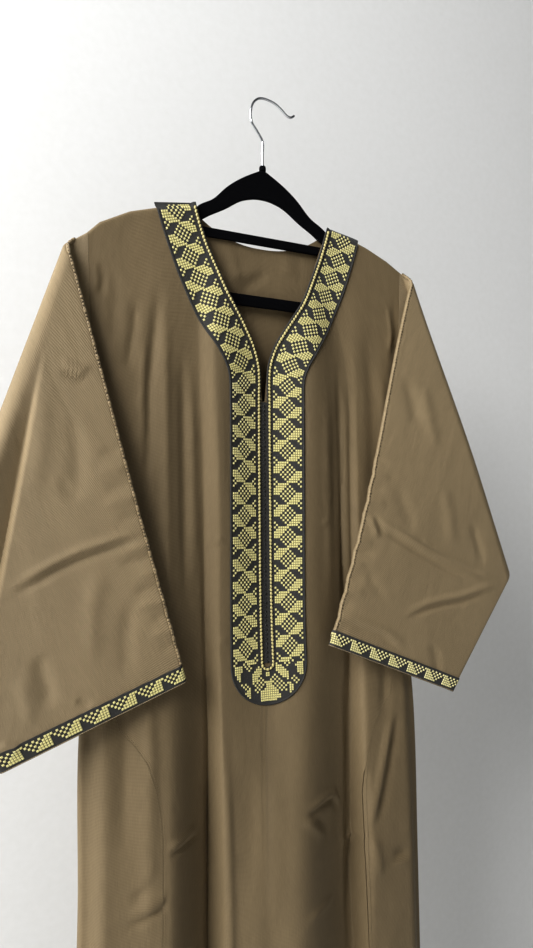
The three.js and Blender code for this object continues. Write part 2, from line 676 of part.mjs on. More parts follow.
function hangerArm(side) {
  const outline = [];
  NECK_TOP.x.forEach((x, k) => outline.push([Math.max(x, GAP / 2), NECK_TOP.z[k]]));
  for (const [x, extra] of ARM_TOP) outline.push([x, armTopZ(side, x) - extra]);
  outline.push([196, armTopZ(side, 196) - 3], [HANGER.tipX, armTopZ(side, 196) - 9]);
  outline.push([HANGER.tipX, HANGER.barLow + 6], [HANGER.tipX - 3, HANGER.barLow + 1.5]);
  outline.push([HANGER.tipX - HANGER.end, HANGER.barLow]);
  outline.push([HANGER.tipX - HANGER.end, armTopZ(side, 188) - 20]);
  for (const x of [166, 140, 112]) outline.push([x, armTopZ(side, x) - 17]);
  for (let k = NECK_LOW.x.length - 1; k >= 0; k -= 1) {
    outline.push([Math.max(NECK_LOW.x[k], GAP / 2), NECK_LOW.z[k]]);
  }
  const turned = outline.map(([x, z]) => [x * side.sign, z]);
  return plate(turned, HANGER.thick);
}

for (const [name, side] of Object.entries(SIDES)) {
  addPiece(`hanger_arm_${name}`, hangerArm(side), VELVET);
}

const barEnd = HANGER.tipX - HANGER.end - GAP;
addPiece('hanger_bar', plate([[-barEnd, HANGER.barLow], [barEnd, HANGER.barLow],
  [barEnd, HANGER.barTop], [-barEnd, HANGER.barTop]], HANGER.thick), VELVET);

const TIE_BAR = { half: 96, top: -169.5, low: -180.5 };
addPiece('hanger_tie_bar', plate([[-TIE_BAR.half, TIE_BAR.low], [TIE_BAR.half, TIE_BAR.low],
  [TIE_BAR.half, TIE_BAR.top], [-TIE_BAR.half, TIE_BAR.top]], HANGER.thick), VELVET);

// Collar of the hook: a turned piece that stands on the hanger's neck.
const COLLAR = { r: 4.2, low: -88, top: -81.5 };
const collar = new THREE.LatheGeometry([[0, COLLAR.low], [COLLAR.r, COLLAR.low],
  [COLLAR.r, COLLAR.top - 2], [COLLAR.r - 1.6, COLLAR.top], [0, COLLAR.top]]
  .map(([r, z]) => new THREE.Vector2(r, z)), 12);
collar.rotateX(Math.PI / 2);
addPiece('hook_collar', collar, VELVET);

// The hook: a 3 mm wire that rises from the collar, bows to the left and ends in a turned tip.
const WIRE_R = 1.5;
const HOOK_PATH = [[0, COLLAR.top + GAP], [0, -66], [0, -52], [-7, -41], [-14.5, -31], [-16, -19],
  [-13, -7.5], [-7, -0.8], [0, WIRE_R], [9, 1.1], [18, -1.4], [26, -6.2], [33, -11.6], [39, -12.8],
  [44.5, -9]];

function roundWire(points, r, sides, steps) {
  const curve = new THREE.CatmullRomCurve3(points.map(([x, z]) => new THREE.Vector3(x, 0, z)));
  const section = new THREE.Shape();
  for (let k = 0; k < sides; k += 1) {
    const a = 2 * Math.PI * k / sides;
    const spot = [r * Math.cos(a), r * Math.sin(a)];
    if (k === 0) section.moveTo(...spot); else section.lineTo(...spot);
  }
  section.closePath();
  return new THREE.ExtrudeGeometry(section, { steps, extrudePath: curve, bevelEnabled: false });
}

addPiece('hook', roundWire(HOOK_PATH, WIRE_R, 8, 30), CHROME);

export default group;
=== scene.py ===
# %% [markdown]
# # A long embroidered thobe on its velvet hanger
#
# The garment is a straight robe of olive-brown twill: a front and a back panel, a gusseted side
# panel under each arm, two wide sleeves, and an embroidered band that frames the neck and the
# closed placket.  It hangs flat, with both sleeves turned forward over a slanting fold.  The
# script loads the part's plain solids, then dresses each with its finished piece.

# %% Load the part
import math

import bpy
import numpy as np
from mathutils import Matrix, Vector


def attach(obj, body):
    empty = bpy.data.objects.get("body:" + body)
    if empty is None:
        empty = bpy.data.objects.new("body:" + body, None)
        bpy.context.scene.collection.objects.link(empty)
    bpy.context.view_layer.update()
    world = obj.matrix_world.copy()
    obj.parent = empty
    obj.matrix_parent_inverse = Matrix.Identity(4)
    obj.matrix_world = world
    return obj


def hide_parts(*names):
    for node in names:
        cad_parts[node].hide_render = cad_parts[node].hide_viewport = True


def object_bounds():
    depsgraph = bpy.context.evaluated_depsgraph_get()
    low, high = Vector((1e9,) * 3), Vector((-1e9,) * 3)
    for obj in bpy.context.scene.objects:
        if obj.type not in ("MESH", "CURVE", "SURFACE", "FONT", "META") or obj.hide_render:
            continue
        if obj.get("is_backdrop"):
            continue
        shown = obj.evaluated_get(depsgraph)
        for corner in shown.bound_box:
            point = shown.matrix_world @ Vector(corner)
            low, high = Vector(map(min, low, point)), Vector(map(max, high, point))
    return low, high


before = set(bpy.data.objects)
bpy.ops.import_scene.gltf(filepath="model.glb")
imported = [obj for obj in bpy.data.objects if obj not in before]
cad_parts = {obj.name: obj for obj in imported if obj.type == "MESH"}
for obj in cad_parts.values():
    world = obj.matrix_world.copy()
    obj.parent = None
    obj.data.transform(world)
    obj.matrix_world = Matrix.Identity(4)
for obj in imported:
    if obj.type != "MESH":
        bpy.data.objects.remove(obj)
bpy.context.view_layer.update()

# %% [markdown]
# ## The sizes that the pattern maker sets
#
# All tables are in millimetres, x to the viewer's right, y away from the viewer and z up from
# the crown of the hook.  A fold is a line down the cloth, given by its x and y at each level;
# between two folds the cloth runs in a soft S, as a heavy twill does.

# %% Driving sizes and the main folds
CLOTH, TRIM, GAP = 1.2, 0.8, 0.3        # walls of the cloth and of the bands, and a seam's gap
HEM_Z, SHOULDER_R = -1550.0, 3.7
NECK_HALF, NECK_END, SLIT_END_Z = 89.0, 92.0, -372.0
BACK_NECK_Z, NECK_TOP_Z = -183.0, -151.0
CLOSURE_Z, BAND_IN, BAND_W, STRIP_W = -691.0, 5.0, 45.0, 9.4
CUFF_W, SLEEVE_H = 20.0, 3.7            # SLEEVE_H: from a sleeve's middle to each layer
LEVELS = [-200, -350, -500, -640, -780, -950, -1550]

FRONT_FOLDS = [  # x and y at each level, from the viewer's left to the right
    ([-180, -185, -190, -194, -197, -201, -214], [-5, -7, -8, -12, -20, -28, -40]),
    ([-128, -128, -128, -128, -129, -132, -142], [-6, -9, -11, -16, -26, -38, -54]),
    ([-90, -86, -80, -76, -71, -70, -74], [-5, -6, -5, -4, -1, 0, 1]),
    ([-66, -66, -62, -62, -61, -61, -64], [-9, -15, -16, -16, -21, -28, -38]),
    ([0, 0, 0, 0, -8, -12, -16], [-5, -2.2, -4, -8, -21, -34, -47]),
    ([60, 60, 58, 54, 42, 31, 26], [-9, -16, -17, -18, -28, -42, -58]),
    ([90, 118, 122, 126, 129, 131, 136], [-5, -5, -4, -3, -1, 0, 1]),
    ([131, 132, 134, 137, 139, 141, 148], [-6, -8, -10, -13, -17, -24, -32]),
    ([178, 180, 186, 192, 200, 206, 222], [-5, -7, -8, -10, -16, -22, -34]),
]
BACK_FOLDS = [
    ([-176, -180, -184, -190, -194, -198, -208], [4.5, 7, 8, 11, 17, 24, 36]),
    ([-90, -112, -112, -108, -106, -104, -100], [5.5, 9, 10, 12, 14, 15, 17]),
    ([-46, -44, -42, -42, -44, -48, -56], [7, 13, 15, 18, 24, 32, 46]),
    ([22, 22, 20, 20, 18, 16, 10], [7, 12, 13, 14, 15, 16, 18]),
    ([90, 88, 86, 84, 80, 76, 70], [6, 11, 13, 16, 21, 28, 42]),
    ([146, 146, 144, 142, 140, 138, 134], [5, 8, 9, 12, 14, 15, 17]),
    ([182, 184, 188, 194, 200, 205, 218], [4.5, 7, 8, 10, 15, 22, 34]),
]
NECK_EDGE = {"z": [-355, -330, -305, -280, -245, -205, -172, -151],
             "x": [3, 5, 13, 27, 50, 68, 80, 89]}
LEFT = {"sign": -1, "fold": (229, -200), "tilt": 19.5, "arm_top": (214, -200),
        "armpit": (203, -572), "cuff_in": (111, -698), "cuff_out": (306, -769),
        "shoulder": ([89, 131, 166, 200, 214], [-148, -157, -168, -186, -200]),
        "edge": [212, 212, 207, 212, 219, 218, 232]}
RIGHT = {"sign": 1, "fold": (213, -190), "tilt": 22, "arm_top": (202, -184),
         "armpit": (200, -549), "cuff_in": (79, -674), "cuff_out": (269, -751),
         "shoulder": ([89, 119, 150, 182, 202], [-145, -151, -160, -173, -184]),
         "edge": [204, 203, 202, 210, 222, 226, 240]}
SIDE_SEAM = {"z": [-1550, -870, -845, -815, -785, -765, -750, -700, -620, -540],
             "x": [150, 137, 138, 143, 153, 166, 180, 192, 196, 199]}
EDGE_DEPTH = [3.7, 3.7, 3.7, 5, 7, 9, 12]
FOLD_TOP, FOLD_LOW, FOLD_REACH = 6.0, 15.0, 300.0    # radius of a sleeve's fold
SIDES = (("left", LEFT), ("right", RIGHT))


def ease(t):
    """0 to 1 in a soft S, level at both ends."""
    s = np.clip(t, 0.0, 1.0)
    return s * s * (3 - 2 * s)


def mix(a, b, t):
    return a + (b - a) * t


def track(at, value, t):
    """A smooth curve through (at[i], value[i]), for any array of t."""
    at, value, t = np.asarray(at, float), np.asarray(value, float), np.asarray(t, float)
    if at[-1] < at[0]:
        at, value = at[::-1], value[::-1]
    last = len(at) - 1
    up, down = np.minimum(np.arange(last + 1) + 1, last), np.maximum(np.arange(last + 1) - 1, 0)
    slope = (value[up] - value[down]) / (at[up] - at[down])
    i = np.clip(np.searchsorted(at, t, side="right") - 1, 0, last - 1)
    span = at[i + 1] - at[i]
    s = np.clip((t - at[i]) / span, 0, 1)
    return ((1 + 2 * s) * (1 - s) ** 2 * value[i] + s * (1 - s) ** 2 * span * slope[i]
            + s * s * (3 - 2 * s) * value[i + 1] + s * s * (s - 1) * span * slope[i + 1])


print("folds:", len(FRONT_FOLDS), "on the front,", len(BACK_FOLDS), "on the back")

# %% [markdown]
# ## Creases
#
# Cloth that has been folded, sat in a bag and hung shows more than its big folds.  Each crease
# here is a line through two or more points, with a half width and a depth; a negative depth
# stands up towards the viewer.  They are placed one by one, because no two are alike.  The
# hidden back gets similar ones of its own.

# %% Creases, listed one by one: points (x, z), half width, depth
FRONT_CREASES = [
    ([(-160, -262), (-163, -300), (-172, -356)], 5, 2.6),
    ([(-134, -235), (-139, -300), (-146, -360), (-147, -440), (-158, -520)], 6, 3.6),
    ([(-106, -300), (-106, -360), (-104, -520), (-102, -640)], 6, 3.2),
    ([(-150, -300), (-154, -380), (-152, -450)], 4, -2.2),
    ([(-126, -250), (-127, -360), (-126, -520), (-124, -650)], 6, -2.6),
    ([(-96, -330), (-93, -440), (-90, -600)], 5, -2.0),
    ([(-82, -400), (-79, -520), (-76, -640), (-71, -770), (-70, -940), (-72, -1200)], 4, 3.4),
    ([(-60, -745), (-58, -830), (-56, -960), (-55, -1150)], 6, -2.2),
    ([(-72, -545), (-64, -541), (-58, -538)], 3, -1.4),
    ([(-74, -551), (-66, -547), (-58, -545)], 3, 1.2),
    ([(-68, -662), (-60, -658), (-53, -655)], 3, -1.3),
    ([(106, -300), (104, -345), (108, -430), (111, -520), (115, -610), (119, -700)], 4, 4.4),
    ([(119, -700), (121, -800), (121, -950), (122, -1100)], 5, 3.6),
    ([(116, -330), (116, -430), (119, -530), (123, -640)], 4, -2.2),
    ([(80, -330), (84, -430), (88, -540), (88, -640)], 7, -2.0),
    ([(96, -360), (97, -450), (98, -540)], 5, 1.8),
    ([(72, -520), (80, -522), (87, -515)], 3, -1.2),
    ([(150, -250), (156, -380), (158, -520)], 10, 2.2),
    ([(170, -300), (176, -420), (174, -540)], 7, -2.0),
    ([(190, -222), (197, -262), (194, -285), (187, -308)], 6, 2.4),
    ([(126, -560), (128, -700), (130, -900), (130, -1150)], 8, 5.5),
    ([(-70, -765), (-68, -900), (-66, -1150)], 6, 4.5),
    ([(183, -232), (187, -270), (184, -300)], 4, -2.2),
    ([(-214, -224), (-207, -236), (-204, -252), (-209, -268)], 4, -3.0),
    ([(-203, -226), (-197, -244), (-200, -272)], 5, 2.6),
    ([(-188, -215), (-184, -260), (-188, -330)], 7, 1.8),
    ([(-136, -881), (-101, -876), (-84, -878)], 4, -2.4),
    ([(-134, -889), (-101, -884), (-84, -886)], 4, 2.0),
    ([(38, -870), (60, -866), (78, -863), (93, -864), (112, -887)], 4, -2.6),
    ([(38, -879), (60, -875), (78, -872), (92, -874), (108, -895)], 4, 2.4),
    ([(36, -876), (56, -892), (76, -913)], 5, -2.4),
    ([(45, -874), (64, -890), (84, -911)], 4, 2.0),
    ([(30, -1004), (61, -996), (95, -997)], 5, -2.6),
    ([(30, -1013), (61, -1005), (95, -1006)], 5, 2.2),
    ([(184, -765), (172, -810), (158, -862), (141, -922)], 5, -3.4),
    ([(192, -770), (181, -812), (168, -866), (150, -925)], 5, 2.6),
    ([(140, -922), (124, -934), (108, -938)], 4, -2.4),
    ([(140, -922), (152, -945), (158, -985)], 5, -2.6),
    ([(140, -922), (128, -965), (126, -1010)], 5, 2.4),
    ([(178, -961), (192, -958), (207, -961)], 5, 3.2),
    ([(178, -970), (192, -968), (207, -971)], 4, -2.0),
    ([(-180, -949), (-160, -943), (-143, -936), (-134, -925)], 4, -2.6),
    ([(-182, -958), (-160, -951), (-142, -944), (-131, -932)], 4, 2.2),
    ([(-174, -932), (-158, -922), (-144, -908)], 4, 2.2),
    ([(-30, -790), (-28, -860), (-32, -960)], 14, 1.6),
    ([(4, -800), (2, -900), (-4, -1020)], 12, -1.4),
    ([(-180, -640), (-176, -760), (-180, -900)], 9, 2.4),
    ([(-152, -660), (-150, -780), (-156, -1000)], 8, -2.2),
    ([(168, -650), (172, -720), (168, -790)], 8, 2.2),
    ([(-40, -1120), (-20, -1128), (5, -1120)], 6, -2.4),
    ([(150, -1150), (172, -1160), (196, -1150)], 6, 2.4),
    ([(-160, -1210), (-140, -1222), (-112, -1215)], 6, -2.2),
    ([(20, -1050), (32, -1250), (28, -1480)], 12, -3.0),
    ([(-100, -1000), (-106, -1250), (-102, -1500)], 12, 3.0),
    ([(170, -1020), (176, -1260), (182, -1500)], 12, -3.0),
]
BACK_CREASES = [
    ([(-150, -240), (-158, -380), (-166, -520)], 9, -3.0),
    ([(-70, -230), (-76, -400), (-74, -620)], 10, 2.6),
    ([(54, -260), (58, -420), (50, -640)], 9, -3.0),
    ([(120, -230), (118, -380), (124, -560)], 9, 2.6),
    ([(166, -280), (172, -420), (168, -600)], 8, -2.4),
    ([(-66, -158), (-50, -178), (-36, -204), (-30, -232)], 7, -3.6),
    ([(-48, -160), (-30, -176), (-4, -188), (22, -190)], 6, 3.4),
    ([(-44, -226), (-26, -216), (-4, -212)], 4, -3.0),
    ([(-30, -238), (-8, -224), (12, -206)], 5, 2.6),
    ([(28, -164), (36, -186), (38, -214)], 6, -2.8),
    ([(58, -166), (54, -192), (60, -222)], 5, 2.4),
    ([(-96, -700), (-60, -712), (-20, -706)], 5, -2.4),
    ([(30, -880), (70, -892), (110, -884)], 5, 2.4),
    ([(-150, -900), (-120, -916), (-86, -920)], 5, -2.6),
    ([(120, -1040), (150, -1020), (182, -1024)], 6, 2.6),
    ([(-14, -1000), (-20, -1240), (-10, -1500)], 11, 3.0),
    ([(-150, -1080), (-146, -1300), (-154, -1500)], 11, -3.0),
]
LEFT_FLAP_CREASES = [
    ([(-304, -587), (-288, -577), (-253, -559), (-231, -549), (-196, -538), (-158, -526)], 4, -2.6),
    ([(-304, -596), (-286, -586), (-253, -568), (-231, -558), (-198, -547), (-158, -535)], 4, 2.4),
    ([(-246, -343), (-240, -352), (-228, -357), (-212, -352)], 3.6, -2.0),
    ([(-248, -351), (-240, -360), (-228, -365), (-212, -360)], 3.6, 1.6),
    ([(-272, -650), (-263, -684), (-256, -712)], 8, 2.8),
    ([(-290, -668), (-282, -700), (-276, -728)], 7, -1.8),
    ([(-309, -739), (-298, -743), (-287, -748)], 4, -1.8),
    ([(-233, -704), (-224, -708), (-216, -713)], 4, 1.8),
    ([(-238, -400), (-230, -440), (-232, -500)], 9, 1.4),
    ([(-262, -360), (-268, -430), (-276, -500)], 10, -1.4),
    ([(-170, -600), (-180, -640), (-176, -690)], 9, 1.6),
    ([(-206, -560), (-216, -610), (-214, -670)], 10, -1.6),
    ([(-250, -470), (-240, -486), (-222, -492)], 6, 1.2),
]
RIGHT_FLAP_CREASES = [
    ([(133, -511), (176, -532), (220, -556), (266, -578), (307, -594), (362, -605)], 4, -3.0),
    ([(131, -519), (174, -541), (218, -565), (264, -587), (307, -603)], 4, 2.6),
    ([(182, -644), (204, -635), (225, -629), (252, -625), (279, -623), (336, -611), (362, -604)],
     4, -2.6),
    ([(184, -652), (206, -643), (227, -637), (254, -633), (281, -631), (336, -620)], 4, 2.4),
    ([(134, -511), (140, -524), (148, -541)], 4, -2.2),
    ([(142, -511), (149, -524), (157, -541)], 4, 1.8),
    ([(90, -635), (124, -648), (159, -661), (190, -682)], 5, -2.4),
    ([(92, -644), (124, -657), (157, -670), (186, -690)], 5, 2.0),
    ([(199, -328), (207, -362), (216, -398)], 9, 1.8),
    ([(222, -330), (232, -380), (244, -430)], 9, -1.6),
    ([(170, -470), (190, -500), (204, -540)], 10, 1.6),
    ([(250, -470), (262, -510), (268, -560)], 9, -1.6),
    ([(300, -520), (312, -550), (322, -584)], 7, 1.8),
    ([(232, -680), (240, -700), (244, -730)], 7, 1.6),
    ([(130, -580), (140, -600), (160, -618)], 7, 1.4),
]


def creases(table, x, z):
    """Depth of the creases at points (x, z); positive lies further from the viewer."""
    x, z = np.broadcast_arrays(np.asarray(x, float), np.asarray(z, float))
    depth = np.zeros(x.shape)
    for points, half, size in table:
        line = np.asarray(points, float)
        step = np.linalg.norm(np.diff(line, axis=0), axis=1)
        total, start = step.sum(), 0.0
        near, along = np.full(x.shape, 1e9), np.zeros(x.shape)
        for a, b, length in zip(line, line[1:], step):
            t = ((x - a[0]) * (b[0] - a[0]) + (z - a[1]) * (b[1] - a[1])) / length ** 2
            t = np.clip(t, 0, 1)
            away = np.hypot(x - mix(a[0], b[0], t), z - mix(a[1], b[1], t))
            closer = away < near
            near, along = np.where(closer, away, near), np.where(closer, start + t * length, along)
            start += length
        ends = ease(along / (0.3 * total)) * ease((total - along) / (0.3 * total))
        depth += size * ends * np.exp(-((near / half) ** 2))
    return depth


# %% [markdown]
# ## Puckers at the over-arm seams
#
# A felled seam is a little shorter than the cloth beside it, so the cloth puckers up to it.
# Each pucker runs from the seam into the flap, at its own height, with its own length and size.

# %% Puckers: height on the seam, reach into the flap, depth
PUCKERS = [
    (-442, 14, 1.2), (-461, 22, -1.5), (-478, 18, 1.4), (-494, 26, -1.7), (-511, 16, 1.4),
    (-545, 20, -1.5), (-558, 28, 1.8), (-574, 18, -1.5), (-590, 24, 1.7), (-607, 30, -1.9),
    (-622, 16, 1.5), (-639, 24, -1.6), (-655, 18, 1.4)]
PUCKER_HALF, PUCKER_START = 3.6, 14.0      # a line starts before the seam, to be full at it
LEFT_SEAM = [(-237, -283), (-216, -376), (-208, -403), (-115, -688)]
RIGHT_SEAM = [(200, -254), (187, -315), (170, -388), (126, -527), (79, -674)]
for table, seam, way in ((LEFT_FLAP_CREASES, LEFT_SEAM, -1), (RIGHT_FLAP_CREASES, RIGHT_SEAM, 1)):
    seam_x, seam_z = np.array(seam, float).T
    for height, reach, size in PUCKERS:
        x = np.interp(-height, -seam_z, seam_x)
        line = [(x - PUCKER_START * way, height + 3), (x, height), (x + 0.6 * way * reach, height - 2),
                (x + way * reach, height - 5)]
        table.append((line, PUCKER_HALF, size))
print("creases:", sum(map(len, (FRONT_CREASES, BACK_CREASES, LEFT_FLAP_CREASES,
                                RIGHT_FLAP_CREASES))))

# %% [markdown]
# ## The form of the body
#
# The front and the back are two height fields that meet at the sides and bend over the hanger's
# arms at the shoulders.  The functions below give the cloth's middle at any (x, z).

# %% The body's two height fields


def by_side(x, left, right):
    """The left value where x is negative, and the right one elsewhere."""
    return np.where(np.asarray(x) < 0, left, right)


def half_width(side, z):
    """Distance of the garment's outline from x = 0."""
    (top_x, top_z), (pit_x, pit_z) = side["arm_top"], side["armpit"]
    above = mix(top_x, pit_x, (top_z - z) / (top_z - pit_z))
    below = mix(pit_x, track(LEVELS, side["edge"], z), ease((pit_z - z) / 90))
    return np.where(z > pit_z, above, below)


def shoulder_z(x):
    return by_side(x, *(np.interp(np.abs(x), *side["shoulder"]) for side in (LEFT, RIGHT)))


def edge_depth(z):
    """Half the garment's depth at its side edges."""
    return np.maximum(SHOULDER_R, track(LEVELS, EDGE_DEPTH, z))


def fold_lines(folds, z):
    """x of the left edge, of each fold and of the right edge at heights z."""
    return [-half_width(LEFT, z)] + [track(LEVELS, f[0], z) for f in folds] + [half_width(RIGHT, z)]


def fold_depth(folds, facing, x, z):
    """y of the cloth's middle: a soft S from each fold to the next."""
    lines = fold_lines(folds, z)
    edge = facing * edge_depth(z)
    depths = [edge] + [track(LEVELS, f[1], z) for f in folds] + [edge]
    out = depths[0] + 0 * x
    for x0, x1, y0, y1 in zip(lines, lines[1:], depths, depths[1:]):
        t = (x - x0) / (x1 - x0)
        out = np.where(t > 0, mix(y0, y1, ease(t)), out)
    return out


def over_shoulder(depth, facing, x, z):
    """Closes the depth towards the shoulder and bends it over the hanger's arm."""
    drop = shoulder_z(x) - z
    opened = mix(facing * SHOULDER_R, depth, ease((drop - 8) / 110))
    lean = 1 - np.clip(drop, 0, SHOULDER_R) / SHOULDER_R
    bent = opened * np.sqrt(np.maximum(0, 1 - lean * lean))
    return np.where((drop >= SHOULDER_R) | (np.abs(x) < NECK_END), opened, bent)


def front_y(x, z):
    deeper_below = mix(0.85, 1.25, ease((-z - 500) / 200))
    depth = fold_depth(FRONT_FOLDS, -1, x, z) + deeper_below * creases(FRONT_CREASES, x, z)
    return over_shoulder(depth, -1, x, z)


def back_y(x, z):
    return over_shoulder(fold_depth(BACK_FOLDS, 1, x, z) + creases(BACK_CREASES, x, z), 1, x, z)


probe = front_y(np.array([0.0, 60.0, -128.0]), np.array([-500.0, -500.0, -900.0]))
print("front depth at three points, mm:", np.round(probe, 1))

# %% [markdown]
# ## Walls of cloth
#
# Each piece of cloth is a closed thin wall: a grid of points on its middle, moved half a
# thickness to each side and joined along the edges.  Its UV map is measured along the cloth in
# metres, so the weave keeps its real size and follows the folds.


def grid_normals(grid, ring=False):
    """Unit normals at a grid's points; the rows of a ring close on themselves."""
    padded = np.concatenate([grid[:, -1:], grid, grid[:, :1]], axis=1) if ring else grid
    over = np.cross(np.gradient(padded, axis=0), np.gradient(padded, axis=1))
    over /= np.maximum(np.linalg.norm(over, axis=2, keepdims=True), 1e-9)
    return over[:, 1:-1] if ring else over


def keep(obj, *nodes, slot):
    """Puts a piece on the body, in place of the plain solids it stands for."""
    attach(obj, "root")
    if nodes:
        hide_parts(*nodes)
    return obj


def lengths(line):
    """Length from a line's first point to each of its points."""
    return np.concatenate([[0], np.cumsum(np.linalg.norm(np.diff(line, axis=0), axis=1))])


def at_lengths(line, length, at):
    """The places at lengths `at` of a line whose own points lie at `length`."""
    return np.stack([np.interp(at, length, line[:, k]) for k in range(3)], axis=1)


def placed(name, data):
    """A new object in the scene."""
    obj = bpy.data.objects.new(name, data)
    bpy.context.collection.objects.link(obj)
    return obj


def mesh_object(name, points, faces, material, uv=None, smooth=True):
    """points in millimetres; uv is one pair in metres for each point."""
    mesh = bpy.data.meshes.new(name)
    mesh.from_pydata((np.asarray(points) / 1000).tolist(), [], [list(map(int, f)) for f in faces])
    if uv is not None:
        index = np.empty(len(mesh.loops), dtype=np.int32)
        mesh.loops.foreach_get("vertex_index", index)
        mesh.uv_layers.new(name="UVMap").data.foreach_set("uv", uv[index].astype("f").ravel())
    if smooth:
        mesh.shade_smooth()
        mesh.set_sharp_from_angle(angle=math.radians(65))
    mesh.materials.append(material)
    return placed(name, mesh)


def cloth_uv(grid):
    """Lengths along the rows and down the columns, in metres, from the grid's middle column."""
    over = np.linalg.norm(np.diff(grid, axis=1), axis=2)
    u = np.concatenate([np.zeros((len(grid), 1)), np.cumsum(over, axis=1)], axis=1)
    u -= u[:, u.shape[1] // 2][:, None]
    down = np.linalg.norm(np.diff(grid, axis=0), axis=2)
    v = np.concatenate([np.zeros((1, grid.shape[1])), np.cumsum(down, axis=0)], axis=0)
    return np.stack([u, -v.mean(axis=1, keepdims=True) + 0 * u], axis=2) / 1000


def wall(name, grid, low, high, material, outward, ring=False, normals=None):
    """A closed wall from `low` to `high` along the grid's normals, which `outward` turns."""
    rows, cols = grid.shape[:2]
    n = grid_normals(grid, ring) if normals is None else normals
    middle = n[rows // 2, cols // 2]
    if np.dot(middle, outward) < 0:
        n = -n
    points = np.concatenate([(grid + n * s).reshape(-1, 3) for s in (low, high)])
    at = np.arange(rows * cols).reshape(rows, cols)
    if ring:
        at = np.concatenate([at, at[:, :1]], axis=1)
    sheet = np.stack([at[:-1, :-1], at[:-1, 1:], at[1:, 1:], at[1:, :-1]], axis=-1).reshape(-1, 4)
    other = sheet[:, ::-1] + rows * cols
    rims = [at[0][::-1], at[-1]] + ([] if ring else [at[:, 0], at[:, -1][::-1]])
    faces = [sheet, other]
    for rim in rims:
        a, b = rim[:-1], rim[1:]
        faces.append(np.stack([a, b, b + rows * cols, a + rows * cols], axis=-1))
    faces = np.concatenate(faces)
    a, b, c = (points[faces[:, k]] for k in range(3))
    inside_out = (a * np.cross(b - a, c - a)).sum() < 0
    if inside_out:
        faces = faces[:, ::-1]
    uv = np.tile(cloth_uv(grid).reshape(-1, 2), (2, 1))
    return mesh_object(name, points, faces, material, uv)


print("helpers ready")

# %% [markdown]
# ## Finishes
#
# The twill is a fine diagonal weave with a soft sheen.  The same weave group serves the olive
# cloth and the charcoal ground of the bands, at its own pitch and depth in each.

# %% Shader groups


def srgb(r, g, b):
    """A colour given from 0 to 255, as Blender's linear one."""
    def to_linear(c):
        c /= 255
        return c / 12.92 if c <= 0.04045 else ((c + 0.055) / 1.055) ** 2.4
    return (*map(to_linear, (r, g, b)), 1.0)


def new_group(kind, name, inputs, outputs):
    """An empty node group: inputs are (title, socket, default), outputs (title, socket)."""
    tree = bpy.data.node_groups.new(name, kind)
    for title, socket_type, value in inputs:
        socket = tree.interface.new_socket(title, in_out="INPUT", socket_type=socket_type)
        if value is not None:
            socket.default_value = value
    for title, socket_type in outputs:
        tree.interface.new_socket(title, in_out="OUTPUT", socket_type=socket_type)
    return tree, tree.nodes.new("NodeGroupInput"), tree.nodes.new("NodeGroupOutput")


def node(tree, kind, **values):
    """A node with its settings; a value that is no setting goes to the input of that name."""
    made = tree.nodes.new(kind)
    for key, value in values.items():
        if hasattr(made, key):
            setattr(made, key, value)
        else:
            made.inputs[key.replace("_", " ")].default_value = value
    return made


def math_node(tree, operation, a, b):
    """One arithmetic step on two sockets or numbers; gives its output."""
    made = tree.nodes.new("ShaderNodeMath")
    made.operation = operation
    for socket, value in zip(made.inputs, (a, b)):
        if hasattr(value, "links"):
            tree.links.new(value, socket)
        else:
            socket.default_value = value
    return made.outputs[0]


VECTOR, FLOAT = "NodeSocketVector", "NodeSocketFloat"

# Twill: diagonal ribs with uneven threads across them.
twill, t_in, t_out = new_group("ShaderNodeTree", "twill weave", [
    ("Vector", VECTOR, None), ("Rib pitch mm", FLOAT, 1.2), ("Slub", FLOAT, 0.4)],
    [("Height", FLOAT), ("Tone", FLOAT)])
to_mm = node(twill, "ShaderNodeVectorMath", operation="SCALE")
to_mm.inputs["Scale"].default_value = 1000
twill.links.new(t_in.outputs["Vector"], to_mm.inputs[0])
ribs = node(twill, "ShaderNodeTexWave", wave_type="BANDS", bands_direction="Y",
            wave_profile="SIN", Distortion=0.6, Detail=1.0)
scale = math_node(twill, "DIVIDE", 2 * math.pi / 10, t_in.outputs["Rib pitch mm"])
twill.links.new(to_mm.outputs[0], ribs.inputs["Vector"])
twill.links.new(scale, ribs.inputs["Scale"])
long_threads = node(twill, "ShaderNodeMapping")
long_threads.inputs["Scale"].default_value = (2.2, 0.06, 1.0)
twill.links.new(to_mm.outputs[0], long_threads.inputs["Vector"])
threads = node(twill, "ShaderNodeTexNoise", Scale=1.0, Detail=2.0)
twill.links.new(long_threads.outputs[0], threads.inputs["Vector"])
slub = math_node(twill, "MULTIPLY", threads.outputs[0], t_in.outputs["Slub"])
height = math_node(twill, "ADD", ribs.outputs["Fac"], slub)
twill.links.new(height, t_out.inputs["Height"])
tone = math_node(twill, "ADD", math_node(twill, "MULTIPLY", ribs.outputs["Fac"], 0.4),
                 math_node(twill, "MULTIPLY", threads.outputs[0], 0.6))
twill.links.new(tone, t_out.inputs["Tone"])

